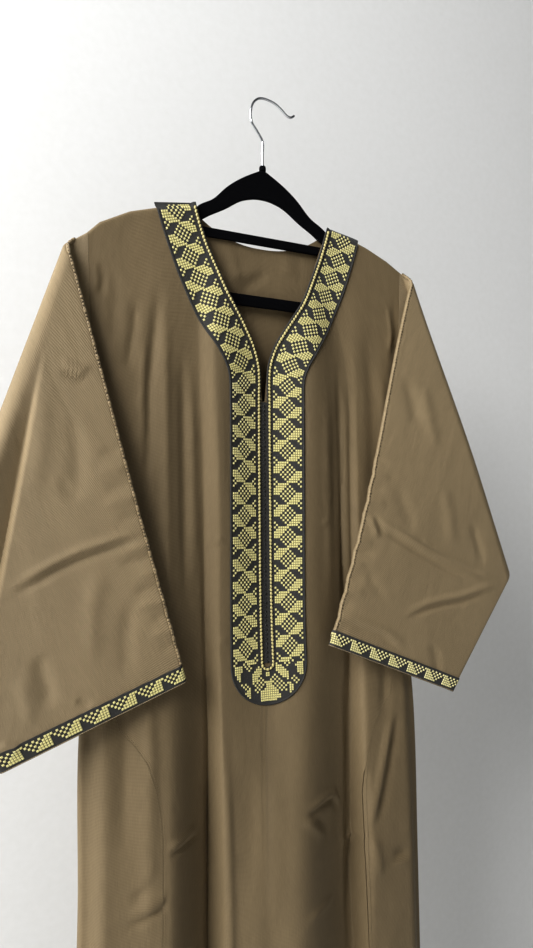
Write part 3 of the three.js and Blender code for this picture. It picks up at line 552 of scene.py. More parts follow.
# Handling: slow clouds of tone and a soft rumple, for cloth, thread and flock alike.
handled, h_in, h_out = new_group("ShaderNodeTree", "handled surface", [
    ("Vector", VECTOR, None), ("Size", FLOAT, 12.0), ("Stretch", FLOAT, 0.35)],
    [("Cloud", FLOAT), ("Rumple", FLOAT)])
squeeze = node(handled, "ShaderNodeCombineXYZ", X=1.0, Z=1.0)
handled.links.new(h_in.outputs["Stretch"], squeeze.inputs["Y"])
shaped = node(handled, "ShaderNodeVectorMath", operation="MULTIPLY")
handled.links.new(h_in.outputs["Vector"], shaped.inputs[0])
handled.links.new(squeeze.outputs[0], shaped.inputs[1])
cloud = node(handled, "ShaderNodeTexNoise", Detail=3.0, Roughness=0.55)
rumple = node(handled, "ShaderNodeTexNoise", Detail=2.0, Roughness=0.45, Distortion=0.4)
for texture, factor in ((cloud, 1.0), (rumple, 3.2)):
    handled.links.new(shaped.outputs[0], texture.inputs["Vector"])
    handled.links.new(math_node(handled, "MULTIPLY", h_in.outputs["Size"], factor),
                      texture.inputs["Scale"])
handled.links.new(cloud.outputs[0], h_out.inputs["Cloud"])
handled.links.new(rumple.outputs[0], h_out.inputs["Rumple"])
print("shader groups:", twill.name, "and", handled.name)

# %% [markdown]
# ## Cloth, thread, velvet and steel
#
# A woven finish runs between two tones, by the weave and by slow clouds of wear.  Thread, flock
# and steel share a smooth finish whose tone drifts too, so no two stitches look the same.

# %% Finishes of cloth, thread, velvet and steel


def new_material(name, **surface):
    made = bpy.data.materials.new(name)
    made.use_nodes = True
    tree = made.node_tree
    shader = tree.nodes["Principled BSDF"]
    for key, value in surface.items():
        shader.inputs[key.replace("_", " ")].default_value = value
    return made, tree, shader


def two_tones(tree, shader, share, dark, light):
    """Colours a surface between two tones by a varying share."""
    ramp = node(tree, "ShaderNodeMix", data_type="RGBA")
    ramp.inputs[6].default_value, ramp.inputs[7].default_value = dark, light
    tree.links.new(share, ramp.inputs[0])
    tree.links.new(ramp.outputs[2], shader.inputs["Base Color"])


def woven(name, dark, light, pitch, depth, source, rumple=0.0, **surface):
    """A woven finish between two tones; source is UV or Object coordinates."""
    made, tree, shader = new_material(name, **surface)
    place = node(tree, "ShaderNodeTexCoord")
    weave = node(tree, "ShaderNodeGroup", node_tree=twill)
    weave.inputs["Rib pitch mm"].default_value = pitch
    worn = node(tree, "ShaderNodeGroup", node_tree=handled)
    for group in (weave, worn):
        tree.links.new(place.outputs[source], group.inputs["Vector"])
    share = math_node(tree, "ADD", math_node(tree, "MULTIPLY", weave.outputs["Tone"], 0.72),
                      math_node(tree, "MULTIPLY", worn.outputs["Cloud"], 0.28))
    two_tones(tree, shader, share, dark, light)
    bump = node(tree, "ShaderNodeBump", Strength=0.55, Distance=depth)
    tree.links.new(weave.outputs["Height"], bump.inputs["Height"])
    if rumple:
        soft = node(tree, "ShaderNodeBump", Strength=1.0, Distance=rumple)
        tree.links.new(worn.outputs["Rumple"], soft.inputs["Height"])
        tree.links.new(soft.outputs[0], bump.inputs["Normal"])
    tree.links.new(bump.outputs[0], shader.inputs["Normal"])
    return made


OLIVE = woven("olive twill", srgb(62, 53, 36), srgb(144, 125, 94), 3.0, 0.0003, "UV",
              rumple=0.0009, Roughness=0.72, Sheen_Weight=0.18, Sheen_Roughness=0.45,
              Sheen_Tint=srgb(210, 198, 170), Specular_IOR_Level=0.35)
# Painted light: the sleeves wear a lighter copy of the same olive twill, since the turned flaps catch
# more light than the body.
SLEEVE_OLIVE_PAINTED_LIGHTER = woven("olive twill, sleeve grain", srgb(78, 67, 47), srgb(176, 155, 120), 3.3,
                     0.0005, "UV", rumple=0.0009, Roughness=0.68, Sheen_Weight=0.25,
                     Sheen_Roughness=0.4, Sheen_Tint=srgb(210, 198, 170), Specular_IOR_Level=0.4)
CHARCOAL = woven("charcoal ground", srgb(40, 40, 40), srgb(66, 65, 62), 1.0, 0.00025, "UV",
                 Roughness=0.85, Sheen_Weight=0.1, Specular_IOR_Level=0.3)


def thread(name, dark, light, size=900.0, **surface):
    """Satin thread: its tone changes from stitch to stitch."""
    made, tree, shader = new_material(name, **surface)
    place = node(tree, "ShaderNodeTexCoord")
    worn = node(tree, "ShaderNodeGroup", node_tree=handled)
    worn.inputs["Size"].default_value = size
    worn.inputs["Stretch"].default_value = 1.0
    tree.links.new(place.outputs["Object"], worn.inputs["Vector"])
    two_tones(tree, shader, worn.outputs["Cloud"], dark, light)
    bump = node(tree, "ShaderNodeBump", Strength=0.5, Distance=0.0002)
    tree.links.new(worn.outputs["Rumple"], bump.inputs["Height"])
    tree.links.new(bump.outputs[0], shader.inputs["Normal"])
    return made


GOLD = thread("gold-green thread", srgb(176, 166, 96), srgb(240, 232, 170), Roughness=0.42,
              Sheen_Weight=0.25, Specular_IOR_Level=0.6)
CORD = thread("pale cord", srgb(150, 136, 82), srgb(222, 210, 146), Roughness=0.42,
              Sheen_Weight=0.25, Specular_IOR_Level=0.6)
KNOT = thread("black knots", srgb(14, 14, 15), srgb(34, 33, 33), Roughness=0.6)
# Seam thread, also used for the cuffs' light cord: on the over-arm seam its pale tone is partly
# painted highlight, for the light on the ridge's top.
SEAM = thread("seam thread", srgb(96, 82, 57), srgb(170, 149, 113), size=500.0, Roughness=0.6,
              Sheen_Weight=0.2)
TONAL = thread("tonal thread", srgb(92, 80, 56), srgb(126, 110, 82), size=500.0, Roughness=0.6)
DEEP = thread("deep brown thread", srgb(58, 48, 32), srgb(88, 74, 50), size=500.0, Roughness=0.6)
VELVET = thread("black velvet", srgb(5, 5, 6), srgb(17, 17, 20), size=700.0, Roughness=0.95,
                Sheen_Weight=0.06, Sheen_Roughness=0.3, Specular_IOR_Level=0.05)
STEEL = thread("bright steel", srgb(176, 178, 182), srgb(205, 207, 210), size=60.0, Roughness=0.16,
               Metallic=1.0)
print("materials:", len(bpy.data.materials))

# %% [markdown]
# ## Front and back panels
#
# Each panel is cut in one piece from shoulder to hem.  Its columns follow the folds, so that a
# ridge never saws across the grid, and its rows lie close where the creases are small.

# %% Front and back panels


def panel_edge(side, z):
    """Outer edge of the front and back panels: the armhole, then the side panel's seam."""
    seam = np.interp(z, SIDE_SEAM["z"], SIDE_SEAM["x"])
    below = mix(side["armpit"][0], seam, ease((side["armpit"][1] - z) / 60)) - GAP / 2
    return np.where(z > side["armpit"][1], half_width(side, z) - GAP, below)


def column_x(folds, share, z):
    """x of the columns at heights z; share runs from 0 to the number of folds plus one."""
    lines = np.stack(fold_lines(folds, z))
    k = np.clip(np.floor(share).astype(int), 0, len(folds))
    low = np.take_along_axis(lines, k[None], axis=0)[0]
    high = np.take_along_axis(lines, k[None] + 1, axis=0)[0]
    x = mix(low, high, share - k)
    edge = by_side(x, panel_edge(LEFT, z), panel_edge(RIGHT, z))
    full = by_side(x, half_width(LEFT, z), half_width(RIGHT, z))
    start, size = 0.62 * edge, np.abs(x)
    pressed = np.sign(x) * mix(start, edge, (size - start) / (full - start))
    return np.where(size <= start, x, pressed)


def front_neck(x):
    return np.where(x <= NECK_EDGE["x"][0], SLIT_END_Z, np.interp(x, NECK_EDGE["x"], NECK_EDGE["z"]))


def back_neck(x):
    return mix(BACK_NECK_Z, NECK_TOP_Z, np.minimum(1, x / NECK_HALF) ** 2.4)


def panel_grid(folds, neckline, depth, columns, rows, close_to=-1000.0):
    """The middle of a panel, with most of its rows above the height `close_to`."""
    share = np.linspace(0, len(folds) + 1, columns)
    top = np.full(columns, -200.0)
    for _ in range(14):
        x = column_x(folds, share, top)
        goal = np.where(np.abs(x) < NECK_END, neckline(np.abs(x)), shoulder_z(x))
        top = mix(top, goal, 0.7)
    bend = top[:, None] - SHOULDER_R * (1 - np.cos(np.radians([2, 14, 27, 41, 56, 73, 90])))
    near = int(rows * 0.84)
    start = bend[:, -1:]
    upper = mix(start, close_to, np.linspace(0, 1, near)[None, 1:])
    lower = mix(close_to, HEM_Z, np.linspace(0, 1, rows - near + 1)[None, 1:]) + 0 * start
    z = np.concatenate([bend, upper, lower], axis=1)
    x = column_x(folds, share[:, None] + 0 * z, z)
    return np.stack([x, depth(x, z), z], axis=2).transpose(1, 0, 2)


columns, rows = ((168, 256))
front_grid = panel_grid(FRONT_FOLDS, front_neck, front_y, columns, rows)
front = keep(wall("front_panel_cloth", front_grid, -CLOTH / 2, CLOTH / 2, OLIVE, (0, -1, 0)),
             "front_panel", slot="olive_cloth")
back_grid = panel_grid(BACK_FOLDS, back_neck, back_y, columns * 3 // 4, rows * 3 // 4)
back = keep(wall("back_panel_cloth", back_grid, -CLOTH / 2, CLOTH / 2, OLIVE, (0, 1, 0)),
            "back_panel", slot="olive_cloth")
print("front panel:", len(front.data.polygons), "faces; back panel:", len(back.data.polygons))

# %% [markdown]
# ## Side panels
#
# A long gusset runs from each armpit to the hem and wraps the side, half on the front and half
# on the back.  Its front seam swings in under the arm, which gives the skirt its width.

# %% Side panels


def side_panel_grid(side, face_steps=16, turn_steps=8, rows=170):
    """Rows of points from the front seam, round the side, to the back seam."""
    top = side["armpit"][1] - 3
    z = mix(top, HEM_Z, np.linspace(0, 1, rows) ** 1.15)[:, None]
    seam = panel_edge(side, z) + GAP
    edge = np.maximum(half_width(side, z), seam + 1.2)
    depth = edge_depth(z)
    x = mix(seam, edge, np.linspace(0, 1, face_steps + 1)[None]) * side["sign"]
    turn = np.linspace(0, math.pi, turn_steps + 1)[None, 1:-1]
    round_x = (edge + depth * 0.6 * np.sin(turn)) * side["sign"]
    xs = np.concatenate([x, round_x, x[:, ::-1]], axis=1)
    ys = np.concatenate([front_y(x, z + 0 * x), -depth * np.cos(turn),
                         back_y(x, z + 0 * x)[:, ::-1]], axis=1)
    return np.stack([xs, ys, z + 0 * xs], axis=2)


for word, side in SIDES:
    grid = side_panel_grid(side)
    panel = wall(f"side_panel_cloth_{word}", grid, -CLOTH / 2, CLOTH / 2, OLIVE, (side["sign"], 0, 0))
    keep(panel, f"side_panel_{word}", slot="olive_cloth")
    print(panel.name, len(panel.data.polygons), "faces")

# %% [markdown]
# ## Sleeves
#
# A sleeve is cut in two layers, sewn along the over-arm and the under-arm.  On the hanger its
# outer part turns forward over a slanting fold, so what shows is the back layer, lying over the
# side of the body with the over-arm seam as its inner edge.  The flat sleeve is measured by s
# down the fold line and d across it; `folded` bends it round the fold.

# %% Sleeves


def fold_frame(side):
    """Unit (x, z) steps along the sleeve's fold line and across it."""
    a = math.radians(side["tilt"])
    return (math.sin(a), -math.cos(a)), (math.cos(a), math.sin(a))


def fold_radius(s):
    return mix(FOLD_TOP, FOLD_LOW, ease(s / FOLD_REACH))


def folded(side, s, d, n):
    """Bends (s, d), n off the sleeve's middle, round the fold; also how far it has turned."""
    along, out = fold_frame(side)
    r = fold_radius(s)
    angle = (d + r) / r - math.pi / 2
    flat, turned = angle < -math.pi / 2, angle > math.pi / 2
    q = np.where(flat, d, np.where(turned, (math.pi - 2) * r - d, -r + (r + n) * np.cos(angle)))
    y = np.where(flat, n, np.where(turned, -2 * r - n, -r - (r + n) * np.sin(angle)))
    x = (side["fold"][0] + s * along[0] + q * out[0]) * side["sign"]
    z = side["fold"][1] + s * along[1] + q * out[1]
    return x, y, z, ease(angle / (math.pi / 2))


def unfolded(side, point, turned):
    """(s, d) of a point (x, z) on the flat stretch before the fold or on the turned one."""
    along, out = fold_frame(side)
    dx, dz = point[0] - side["fold"][0], point[1] - side["fold"][1]
    s, q = dx * along[0] + dz * along[1], dx * out[0] + dz * out[1]
    return np.array([s, (math.pi - 2) * fold_radius(s) - q if turned else q])


def share_at_bend(a, b, angle):
    """How far from a to b the sleeve's edge reaches an angle of the fold."""
    low, high = 0.0, 1.0
    for _ in range(40):
        mid = (low + high) / 2
        s, d = mix(a, b, mid)
        if d < (angle + math.pi / 2 - 1) * fold_radius(s):
            low = mid
        else:
            high = mid
    return (low + high) / 2


def sleeve_lines(side, flat=10, bend=26, turned=120):
    """Ends of the lines across the sleeve, from the armhole to the cuff, in (s, d)."""
    top, pit = unfolded(side, side["arm_top"], False), unfolded(side, side["armpit"], False)
    cuff_in = unfolded(side, side["cuff_in"], True)
    cuff_out = unfolded(side, side["cuff_out"], True)
    angles = np.linspace(-math.pi / 2, math.pi / 2, bend)
    over = [share_at_bend(top, cuff_in, a) for a in angles]
    under = [share_at_bend(pit, cuff_out, a) for a in angles]
    shares = [np.concatenate([np.linspace(0, s[0], flat, endpoint=False), s,
                              np.linspace(s[-1], 1, turned + 1)[1:]]) for s in (over, under)]
    return (mix(top, cuff_in, shares[0][:, None]), mix(pit, cuff_out, shares[1][:, None]))


PLEAT_TOP, PLEAT_TILT = (-245, -244), 10.4      # the left sleeve's second line and its slant


def pleat(x, z):
    """On the left sleeve the cloth outside a second line drops behind it and swings forward."""
    a, dx, dz = math.radians(PLEAT_TILT), x - PLEAT_TOP[0], z - PLEAT_TOP[1]
    down = -dx * math.sin(a) - dz * math.cos(a)
    out = -dx * math.cos(a) + dz * math.sin(a)
    grown = ease((down - 84) / 130)
    return grown * (8.0 * ease((out + 1) / 4.0) - 0.42 * np.clip(out - 1, 0, 60))


def flap_shift(side, x, z):
    """Depth that the creases, and on the left the pleat, give to the turned flap."""
    if side is LEFT:
        return creases(LEFT_FLAP_CREASES, x, z) + pleat(x, z)
    return creases(RIGHT_FLAP_CREASES, x, z)


def sleeve_layer(side, layer, across=66):
    """The middle of one layer: 1 is the back one, -1 the front one."""
    over, under = sleeve_lines(side)
    length = np.linalg.norm(under - over, axis=1)[:, None]
    roll = np.linspace(0, math.pi / 2, 6)[None]
    edge_w, edge_n = SLEEVE_H * (1 - np.cos(roll)), np.maximum(SLEEVE_H * np.sin(roll), GAP / 2)
    middle = mix(SLEEVE_H, length - SLEEVE_H, np.linspace(0, 1, across)[None, 1:-1])
    w = np.concatenate([edge_w + 0 * length, middle, (length - edge_w)[:, ::-1]], axis=1)
    n = np.concatenate([edge_n + 0 * length, SLEEVE_H + 0 * middle, edge_n[:, ::-1] + 0 * length],
                       axis=1)
    t = w / length
    s, d = (mix(over[:, k:k + 1], under[:, k:k + 1], t) for k in (0, 1))
    x, y, z, turned = folded(side, s, d, layer * n)
    return np.stack([x, y + turned * flap_shift(side, x, z), z], axis=2)


sleeve_grids = {}
for word, side in SIDES:
    for cut, layer in (("back", 1), ("front", -1)):
        grid = sleeve_layer(side, layer)
        sleeve_grids[word, cut] = grid
        facing = (0, -layer, 0) if grid[len(grid) // 2, 30, 1] < -5 else (0, layer, 0)
        sleeve = wall(f"sleeve_{cut}_cloth_{word}", grid, -CLOTH / 2, CLOTH / 2, SLEEVE_OLIVE_PAINTED_LIGHTER,
                      facing)
        keep(sleeve, f"sleeve_{cut}_{word}", slot="olive_cloth")
    print("sleeve", word, len(sleeve.data.polygons), "faces in each layer")

# %% [markdown]
# ## The neck band and placket
#
# The band is a woven tape, sewn round the neckline and down both sides of the placket, with a
# round end.  Its charcoal ground is one wall in each half.  Rows of stitches cross it at right
# angles to its edge, so the pattern turns with the neckline.

# %% Ground of the bands
BAND_STATIONS = [  # inner (x, z) and outer (x, z) ends of a row across the band
    (89, -144, 138, -152), (84, -162, 131, -176), (76, -186, 121, -205), (65, -212, 111, -232),
    (50, -245, 93, -270), (38, -264, 81, -290), (27, -281, 70, -307), (13, -306, 57, -328),
    (5.5, -332, 51, -345), (5, -372, 50, -374), (5, -420, 50, -420), (5, CLOSURE_Z, 50, CLOSURE_Z)]


STATIONS = np.asarray(BAND_STATIONS, float)
STATION_AT = lengths((STATIONS[:, :2] + STATIONS[:, 2:]) / 2)
STRAIGHT_LENGTH = STATION_AT[-1]


def band_point(along, across):
    """(x, z) at a length along the band's middle and a distance from its inner edge, mm."""
    ends = [track(STATION_AT, STATIONS[:, k], along) for k in range(4)]
    t = across / BAND_W
    x, z = mix(ends[0], ends[2], t), mix(ends[1], ends[3], t)
    past = np.maximum(0, along - STRAIGHT_LENGTH)
    angle = np.clip(past / (BAND_IN + BAND_W / 2), 0, math.pi / 2)
    radius = BAND_IN + across
    round_x = np.maximum(radius * np.cos(angle), 0.15)
    round_z = CLOSURE_Z - radius * np.sin(angle)
    return np.where(past > 0, round_x, x), np.where(past > 0, round_z, z)


def over_front(x, z, lift):
    """Points on the front panel, raised off its surface by `lift`."""
    step = 0.5
    y = front_y(x, z)
    dx = (front_y(x + step, z) - front_y(x - step, z)) / (2 * step)
    dz = (front_y(x, z + step) - front_y(x, z - step)) / (2 * step)
    n = np.stack([dx, -np.ones_like(dx), dz], axis=-1)
    n /= np.linalg.norm(n, axis=-1, keepdims=True)
    return np.stack([x, y, z], axis=-1) + n * lift


ROUND_LENGTH = (BAND_IN + BAND_W / 2) * math.pi / 2
GROUND_LIFT = CLOTH / 2 + GAP
band_along = np.concatenate([np.linspace(0, STRAIGHT_LENGTH, 150),
                             STRAIGHT_LENGTH + np.linspace(0, ROUND_LENGTH, 26)[1:]])
band_grids = {}
for word, side in SIDES:
    a, b = np.meshgrid(band_along, np.linspace(0, BAND_W, 24), indexing="ij")
    x, z = band_point(a, b)
    grid = band_grids[word] = over_front(x * side["sign"], z, 0)
    ground = wall(f"band_ground_{word}", grid, GROUND_LIFT, GROUND_LIFT + TRIM, CHARCOAL, (0, -1, 0))
    keep(ground, f"neck_band_{word}", slot="charcoal_trim")
a, b = np.meshgrid(np.linspace(SLIT_END_Z - 1, CLOSURE_Z, 90),
                   np.linspace(-STRIP_W / 2, STRIP_W / 2, 6), indexing="ij")
strip = wall("placket_strip_ground", over_front(b, a, 0), GROUND_LIFT, GROUND_LIFT + TRIM, CHARCOAL,
             (0, -1, 0))
keep(strip, "placket_strip", slot="charcoal_trim")
print("band length, mm:", round(STRAIGHT_LENGTH + ROUND_LENGTH))

# %% [markdown]
# ## Stitches, beads and knots
#
# The embroidery is counted work: short satin stitches on a charcoal ground, thirteen across the
# field and nine rows to a repeat.  A chart says where gold lies, as a knitter's chart does.
# Geometry Nodes raises each charted cell into a small pillow, and a second group sets beads,
# knots or sewing stitches along a path.

# %% Node groups for repeats


def repeat_group(name, inputs):
    geometry = ("Geometry", "NodeSocketGeometry")
    return new_group("GeometryNodeTree", name, [(*geometry, None)] + inputs, [geometry])


def chain(tree, *stops):
    """Links output to input, one pair after another: (node, output) then (node, input)."""
    for (a, out), (b, into) in zip(stops[::2], stops[1::2]):
        tree.links.new(a.outputs[out], b.inputs[into])


raised, r_in, r_out = repeat_group("raised stitches", [
    ("Height", FLOAT, 0.00045), ("Top share", FLOAT, 0.62), ("Material", "NodeSocketMaterial", None)])
push = node(raised, "GeometryNodeExtrudeMesh", mode="FACES")
push.inputs["Individual"].default_value = True
shrink = node(raised, "GeometryNodeScaleElements", domain="FACE")
real = node(raised, "GeometryNodeRealizeInstances")
paint = node(raised, "GeometryNodeSetMaterial")
chain(raised, (r_in, "Geometry"), (push, "Mesh"), (r_in, "Height"), (push, "Offset Scale"),
      (push, "Mesh"), (shrink, "Geometry"), (push, "Top"), (shrink, "Selection"),
      (r_in, "Top share"), (shrink, "Scale"), (shrink, "Geometry"), (real, "Geometry"),
      (real, "Geometry"), (paint, "Geometry"), (r_in, "Material"), (paint, "Material"),
      (paint, "Geometry"), (r_out, "Geometry"))

beads, b_in, b_out = repeat_group("beads on a path", [
    ("Pitch", FLOAT, 0.004), ("Width", FLOAT, 0.003), ("Depth", FLOAT, 0.002),
    ("Length", FLOAT, 0.004), ("Tilt", FLOAT, 0.0), ("Uneven", FLOAT, 0.1),
    ("Seed", "NodeSocketInt", 3), ("Material", "NodeSocketMaterial", None)])
path = node(beads, "GeometryNodeMeshToCurve")
spots = node(beads, "GeometryNodeCurveToPoints", mode="LENGTH")
ball = node(beads, "GeometryNodeMeshUVSphere", Segments=8, Rings=5, Radius=0.5)
soft = node(beads, "GeometryNodeSetShadeSmooth")
size = node(beads, "ShaderNodeCombineXYZ")
uneven = node(beads, "FunctionNodeRandomValue", data_type="FLOAT")
swell = node(beads, "ShaderNodeVectorMath", operation="SCALE")
aim = node(beads, "FunctionNodeAlignRotationToVector", axis="Z")
face = node(beads, "FunctionNodeAlignRotationToVector", axis="Y", pivot_axis="Z")
face.inputs["Vector"].default_value = (0, -1, 0)
lean = node(beads, "ShaderNodeCombineXYZ")
turn = node(beads, "FunctionNodeEulerToRotation")
tilt = node(beads, "FunctionNodeRotateRotation", rotation_space="LOCAL")
place = node(beads, "GeometryNodeInstanceOnPoints")
real = node(beads, "GeometryNodeRealizeInstances")
paint = node(beads, "GeometryNodeSetMaterial")
low = math_node(beads, "SUBTRACT", 1.0, b_in.outputs["Uneven"])
high = math_node(beads, "ADD", 1.0, b_in.outputs["Uneven"])
beads.links.new(low, uneven.inputs[2])
beads.links.new(high, uneven.inputs[3])
chain(beads, (b_in, "Geometry"), (path, "Mesh"), (path, "Curve"), (spots, "Curve"),
      (b_in, "Pitch"), (spots, "Length"), (ball, "Mesh"), (soft, "Geometry"),
      (soft, "Geometry"), (place, "Instance"), (spots, "Points"), (place, "Points"),
      (b_in, "Width"), (size, "X"), (b_in, "Depth"), (size, "Y"), (b_in, "Length"), (size, "Z"),
      (b_in, "Seed"), (uneven, "Seed"), (size, 0), (swell, 0), (uneven, 1), (swell, "Scale"),
      (swell, 0), (place, "Scale"), (spots, "Tangent"), (aim, "Vector"), (aim, 0), (face, "Rotation"),
      (b_in, "Tilt"), (lean, "Y"), (lean, 0), (turn, 0), (face, 0), (tilt, "Rotation"),
      (turn, 0), (tilt, "Rotate By"), (tilt, 0), (place, "Rotation"),
      (place, "Instances"), (real, "Geometry"), (real, "Geometry"), (paint, "Geometry"),
      (b_in, "Material"), (paint, "Material"), (paint, "Geometry"), (b_out, "Geometry"))


def grown(name, points, faces, edges, tree, **values):
    """A helper mesh put through a node group and kept as a plain mesh."""
    seed = bpy.data.meshes.new(name + "_seed")
    seed.from_pydata((np.asarray(points) / 1000).tolist(), edges, faces)
    helper = placed(name + "_seed", seed)
    modifier = helper.modifiers.new(tree.name, "NODES")
    modifier.node_group = tree
    for item in tree.interface.items_tree:
        key = item.name.replace(" ", "_")
        if item.in_out == "INPUT" and key in values:
            modifier[item.identifier] = values[key]
    graph = bpy.context.evaluated_depsgraph_get()
    mesh = bpy.data.meshes.new_from_object(helper.evaluated_get(graph), depsgraph=graph)
    mesh.name = name
    helper.modifiers.remove(modifier)
    bpy.data.objects.remove(helper)
    return placed(name, mesh)


def path_beads(name, paths, material, slot, **values):
    """Beads along one or more lists of points, in millimetres."""
    points, edges = [], []
    for line in paths:
        first = len(points)
        points += [tuple(p) for p in line]
        edges += [(k, k + 1) for k in range(first, len(points) - 1)]
    obj = grown(name, points, [], edges, beads, Material=material, **values)
    return keep(obj, slot=slot)


def charted(name, corners, chosen, material, slot, outward=(0, -1, 0), height=0.0007, shrink=0.84):
    """One raised stitch on each chosen cell of a grid of corner points."""
    a, b = corners[:-1, :-1][chosen], corners[:-1, 1:][chosen]
    c, d = corners[1:, 1:][chosen], corners[1:, :-1][chosen]
    middle = (a + b + c + d) / 4
    quads = np.stack([middle + (p - middle) * shrink for p in (a, b, c, d)], axis=1)
    n = np.cross(quads[:, 1] - quads[:, 0], quads[:, 3] - quads[:, 0])
    away = np.broadcast_to(np.asarray(outward, float), chosen.shape + (3,))[chosen]
    wrong = (n * away).sum(axis=1) < 0
    quads[wrong] = quads[wrong][:, ::-1]
    faces = np.arange(len(quads) * 4).reshape(-1, 4).tolist()
    obj = grown(name, quads.reshape(-1, 3), faces, [], raised, Material=material, Height=height)
    return keep(obj, slot=slot)


print("node groups:", raised.name, "and", beads.name)

# %% [markdown]
# ## The embroidery of the neck and the placket
#
# A repeat holds two solid petals and a lozenge of single stitches between them; the dark leaves
# are bare ground.  The two halves mirror each other.  Round the end of the placket the tape is
# eased in, and its motifs open into a fan.

# %% Stitches of the bands
CHART = """
#.#####....#.
.#####.#....#
#####.#.#....
####.#.#.#...
###.#.#.#.###
...#.#.#.####
....#.#.#####
#....#.#####.
.#....#####.#
""".split()
STITCH = 2.96                 # height of a row of stitches
CHART_START = 2               # the chart's row that would come next, at the round end
FAN_CELL = 2.64               # side of a stitch in the fan round the placket's end
FAN_REACH = (11.0, 46.0)      # the fan's inner and outer radius
FIELD = (7.3, 41.6)           # the field's inner and outer edge, from the band's inner edge
TOP_LIFT = GROUND_LIFT + TRIM + 0.02
chart = np.array([[mark == "#" for mark in row] for row in CHART])

ROUND_SOLID = [  # petals of the fan round the placket's end, from its centre
    [(-46.8, 3), (-39, 3), (-33.7, 0), (-33.3, -7), (-37.5, -11), (-36, -19), (-40, -20),
     (-42.5, -12), (-46.4, -5)],
    [(-13.5, -1.4), (-9.7, -1.8), (-8.2, -12.7), (-12, -16.6), (-14.2, -20.7), (-22.5, -24.2),
     (-22.1, -14), (-18.7, -8.7), (-14.2, -6.3)],
    [(-2.2, -21.9), (3.7, -21.7), (7.5, -26.4), (14.2, -34.2), (15.7, -41.6), (6, -46), (-2.2, -47),
     (-11.2, -45), (-11.2, -36.7), (-6.7, -32.2), (-3.7, -28.2)],
    [(10.5, 2.7), (15, -2.1), (21.7, -5.6), (25.5, -12.4), (25.5, -20.3), (19.5, -19),
     (14.2, -14.2), (11.2, -8.9)],
    [(38.2, 4), (43.5, 4), (47, 4), (47, -4), (46, -10), (43, -16.4), (37.5, -11.5), (35.2, -4)],
    [(24.7, -23.8), (32.2, -26.7), (33, -32), (26.5, -38)],
    [(-31, -33), (-24, -25.4), (-22.5, -35), (-24, -40)]]
ROUND_LATTICE = [
    [(-36, 4), (-20.2, 4), (-23.2, -8.3), (-31.5, -3.2)],
    [(-8.2, -13.4), (-2.2, -23.3), (-8.2, -32.7), (-12.7, -35.1), (-20.2, -28.7), (-17.2, -23.2)],
    [(9, -10.8), (23.2, -24.4), (23.2, -33), (18.7, -36.1), (3.7, -19.6)],
    [(21, 4), (34, 4), (33.7, 0.4), (28.5, -5.6), (23.2, -5)],
    [(32.2, -13.8), (40.5, -20.4), (37, -26), (27.7, -22)],
    [(-36.5, -19.9), (-26.2, -23), (-27.7, -29.4), (-34, -29)]]


def inside(x, z, shape):
    hit = np.zeros(x.shape, bool)
    for (x1, z1), (x2, z2) in zip(shape, shape[1:] + shape[:1]):
        crosses = (z1 > z) != (z2 > z)
        reach = (x2 - x1) * (z - z1) / (z2 - z1 + 1e-9) + x1
        hit ^= crosses & (x < reach)
    return hit


row_count = int(STRAIGHT_LENGTH / STITCH)
for word, side in SIDES:
    along = STRAIGHT_LENGTH - STITCH * np.arange(row_count + 1)[::-1]
    a, b = np.meshgrid(along, np.linspace(*FIELD, chart.shape[1] + 1), indexing="ij")
    x, z = band_point(a, b)
    corners = over_front(x * side["sign"], z, TOP_LIFT)
    step = (np.arange(row_count) - row_count + CHART_START) % len(chart)
    gold = charted(f"band_stitches_{word}", corners, chart[step], GOLD, "embroidery")
    print(gold.name, len(gold.data.polygons), "faces")

x, z = np.meshgrid(np.arange(-18, 19) * FAN_CELL, -np.arange(0, 19) * FAN_CELL)
corners = over_front(x, CLOSURE_Z + z, TOP_LIFT)
cx, cz = (x[:-1, :-1] + x[1:, 1:]) / 2, (z[:-1, :-1] + z[1:, 1:]) / 2
radius = np.hypot(cx, cz)
every_other = np.indices(cx.shape).sum(axis=0) % 2 == 0
solid = np.any([inside(cx, cz, s) for s in ROUND_SOLID], axis=0)
lattice = np.any([inside(cx, cz, s) for s in ROUND_LATTICE], axis=0) & every_other
vein = (np.abs(np.abs(cx) - 0.8 * (cz + 14.5)) < 1.5) & (cz > -15) & (cz < -4)
chosen = (solid | lattice | vein) & (radius > FAN_REACH[0]) & (radius < FAN_REACH[1])
fan = charted("band_stitches_end", corners, chosen, GOLD, "embroidery")
print(fan.name, len(fan.data.polygons), "faces")

# %% [markdown]
# ## Cords, edges and knots
#
# Hand-laid trim finishes the tape: a pale twisted cord along its inner edge, a dark rolled edge
# outside, a binding round the neck, and a row of small knots that shuts the front.  The cord and
# the knots are beads on a path, and the edges are plain round cords.

# %% Cords, edges and knots of the bands
CORD_ACROSS, EDGE_ACROSS, BINDING_ACROSS = 2.6, 43.9, 0.4      # from the band's inner edge
PATH_START, PATH_POINTS = 8.0, 420                             # mm from the shoulder end, and points


def band_path(side, across, lift, around=True):
    """A line down the band, with or without the round end."""
    end = STRAIGHT_LENGTH + (ROUND_LENGTH if around else 0)
    x, z = band_point(np.linspace(PATH_START, end, PATH_POINTS), np.full(PATH_POINTS, across))
    return over_front(x * side["sign"], z, lift)


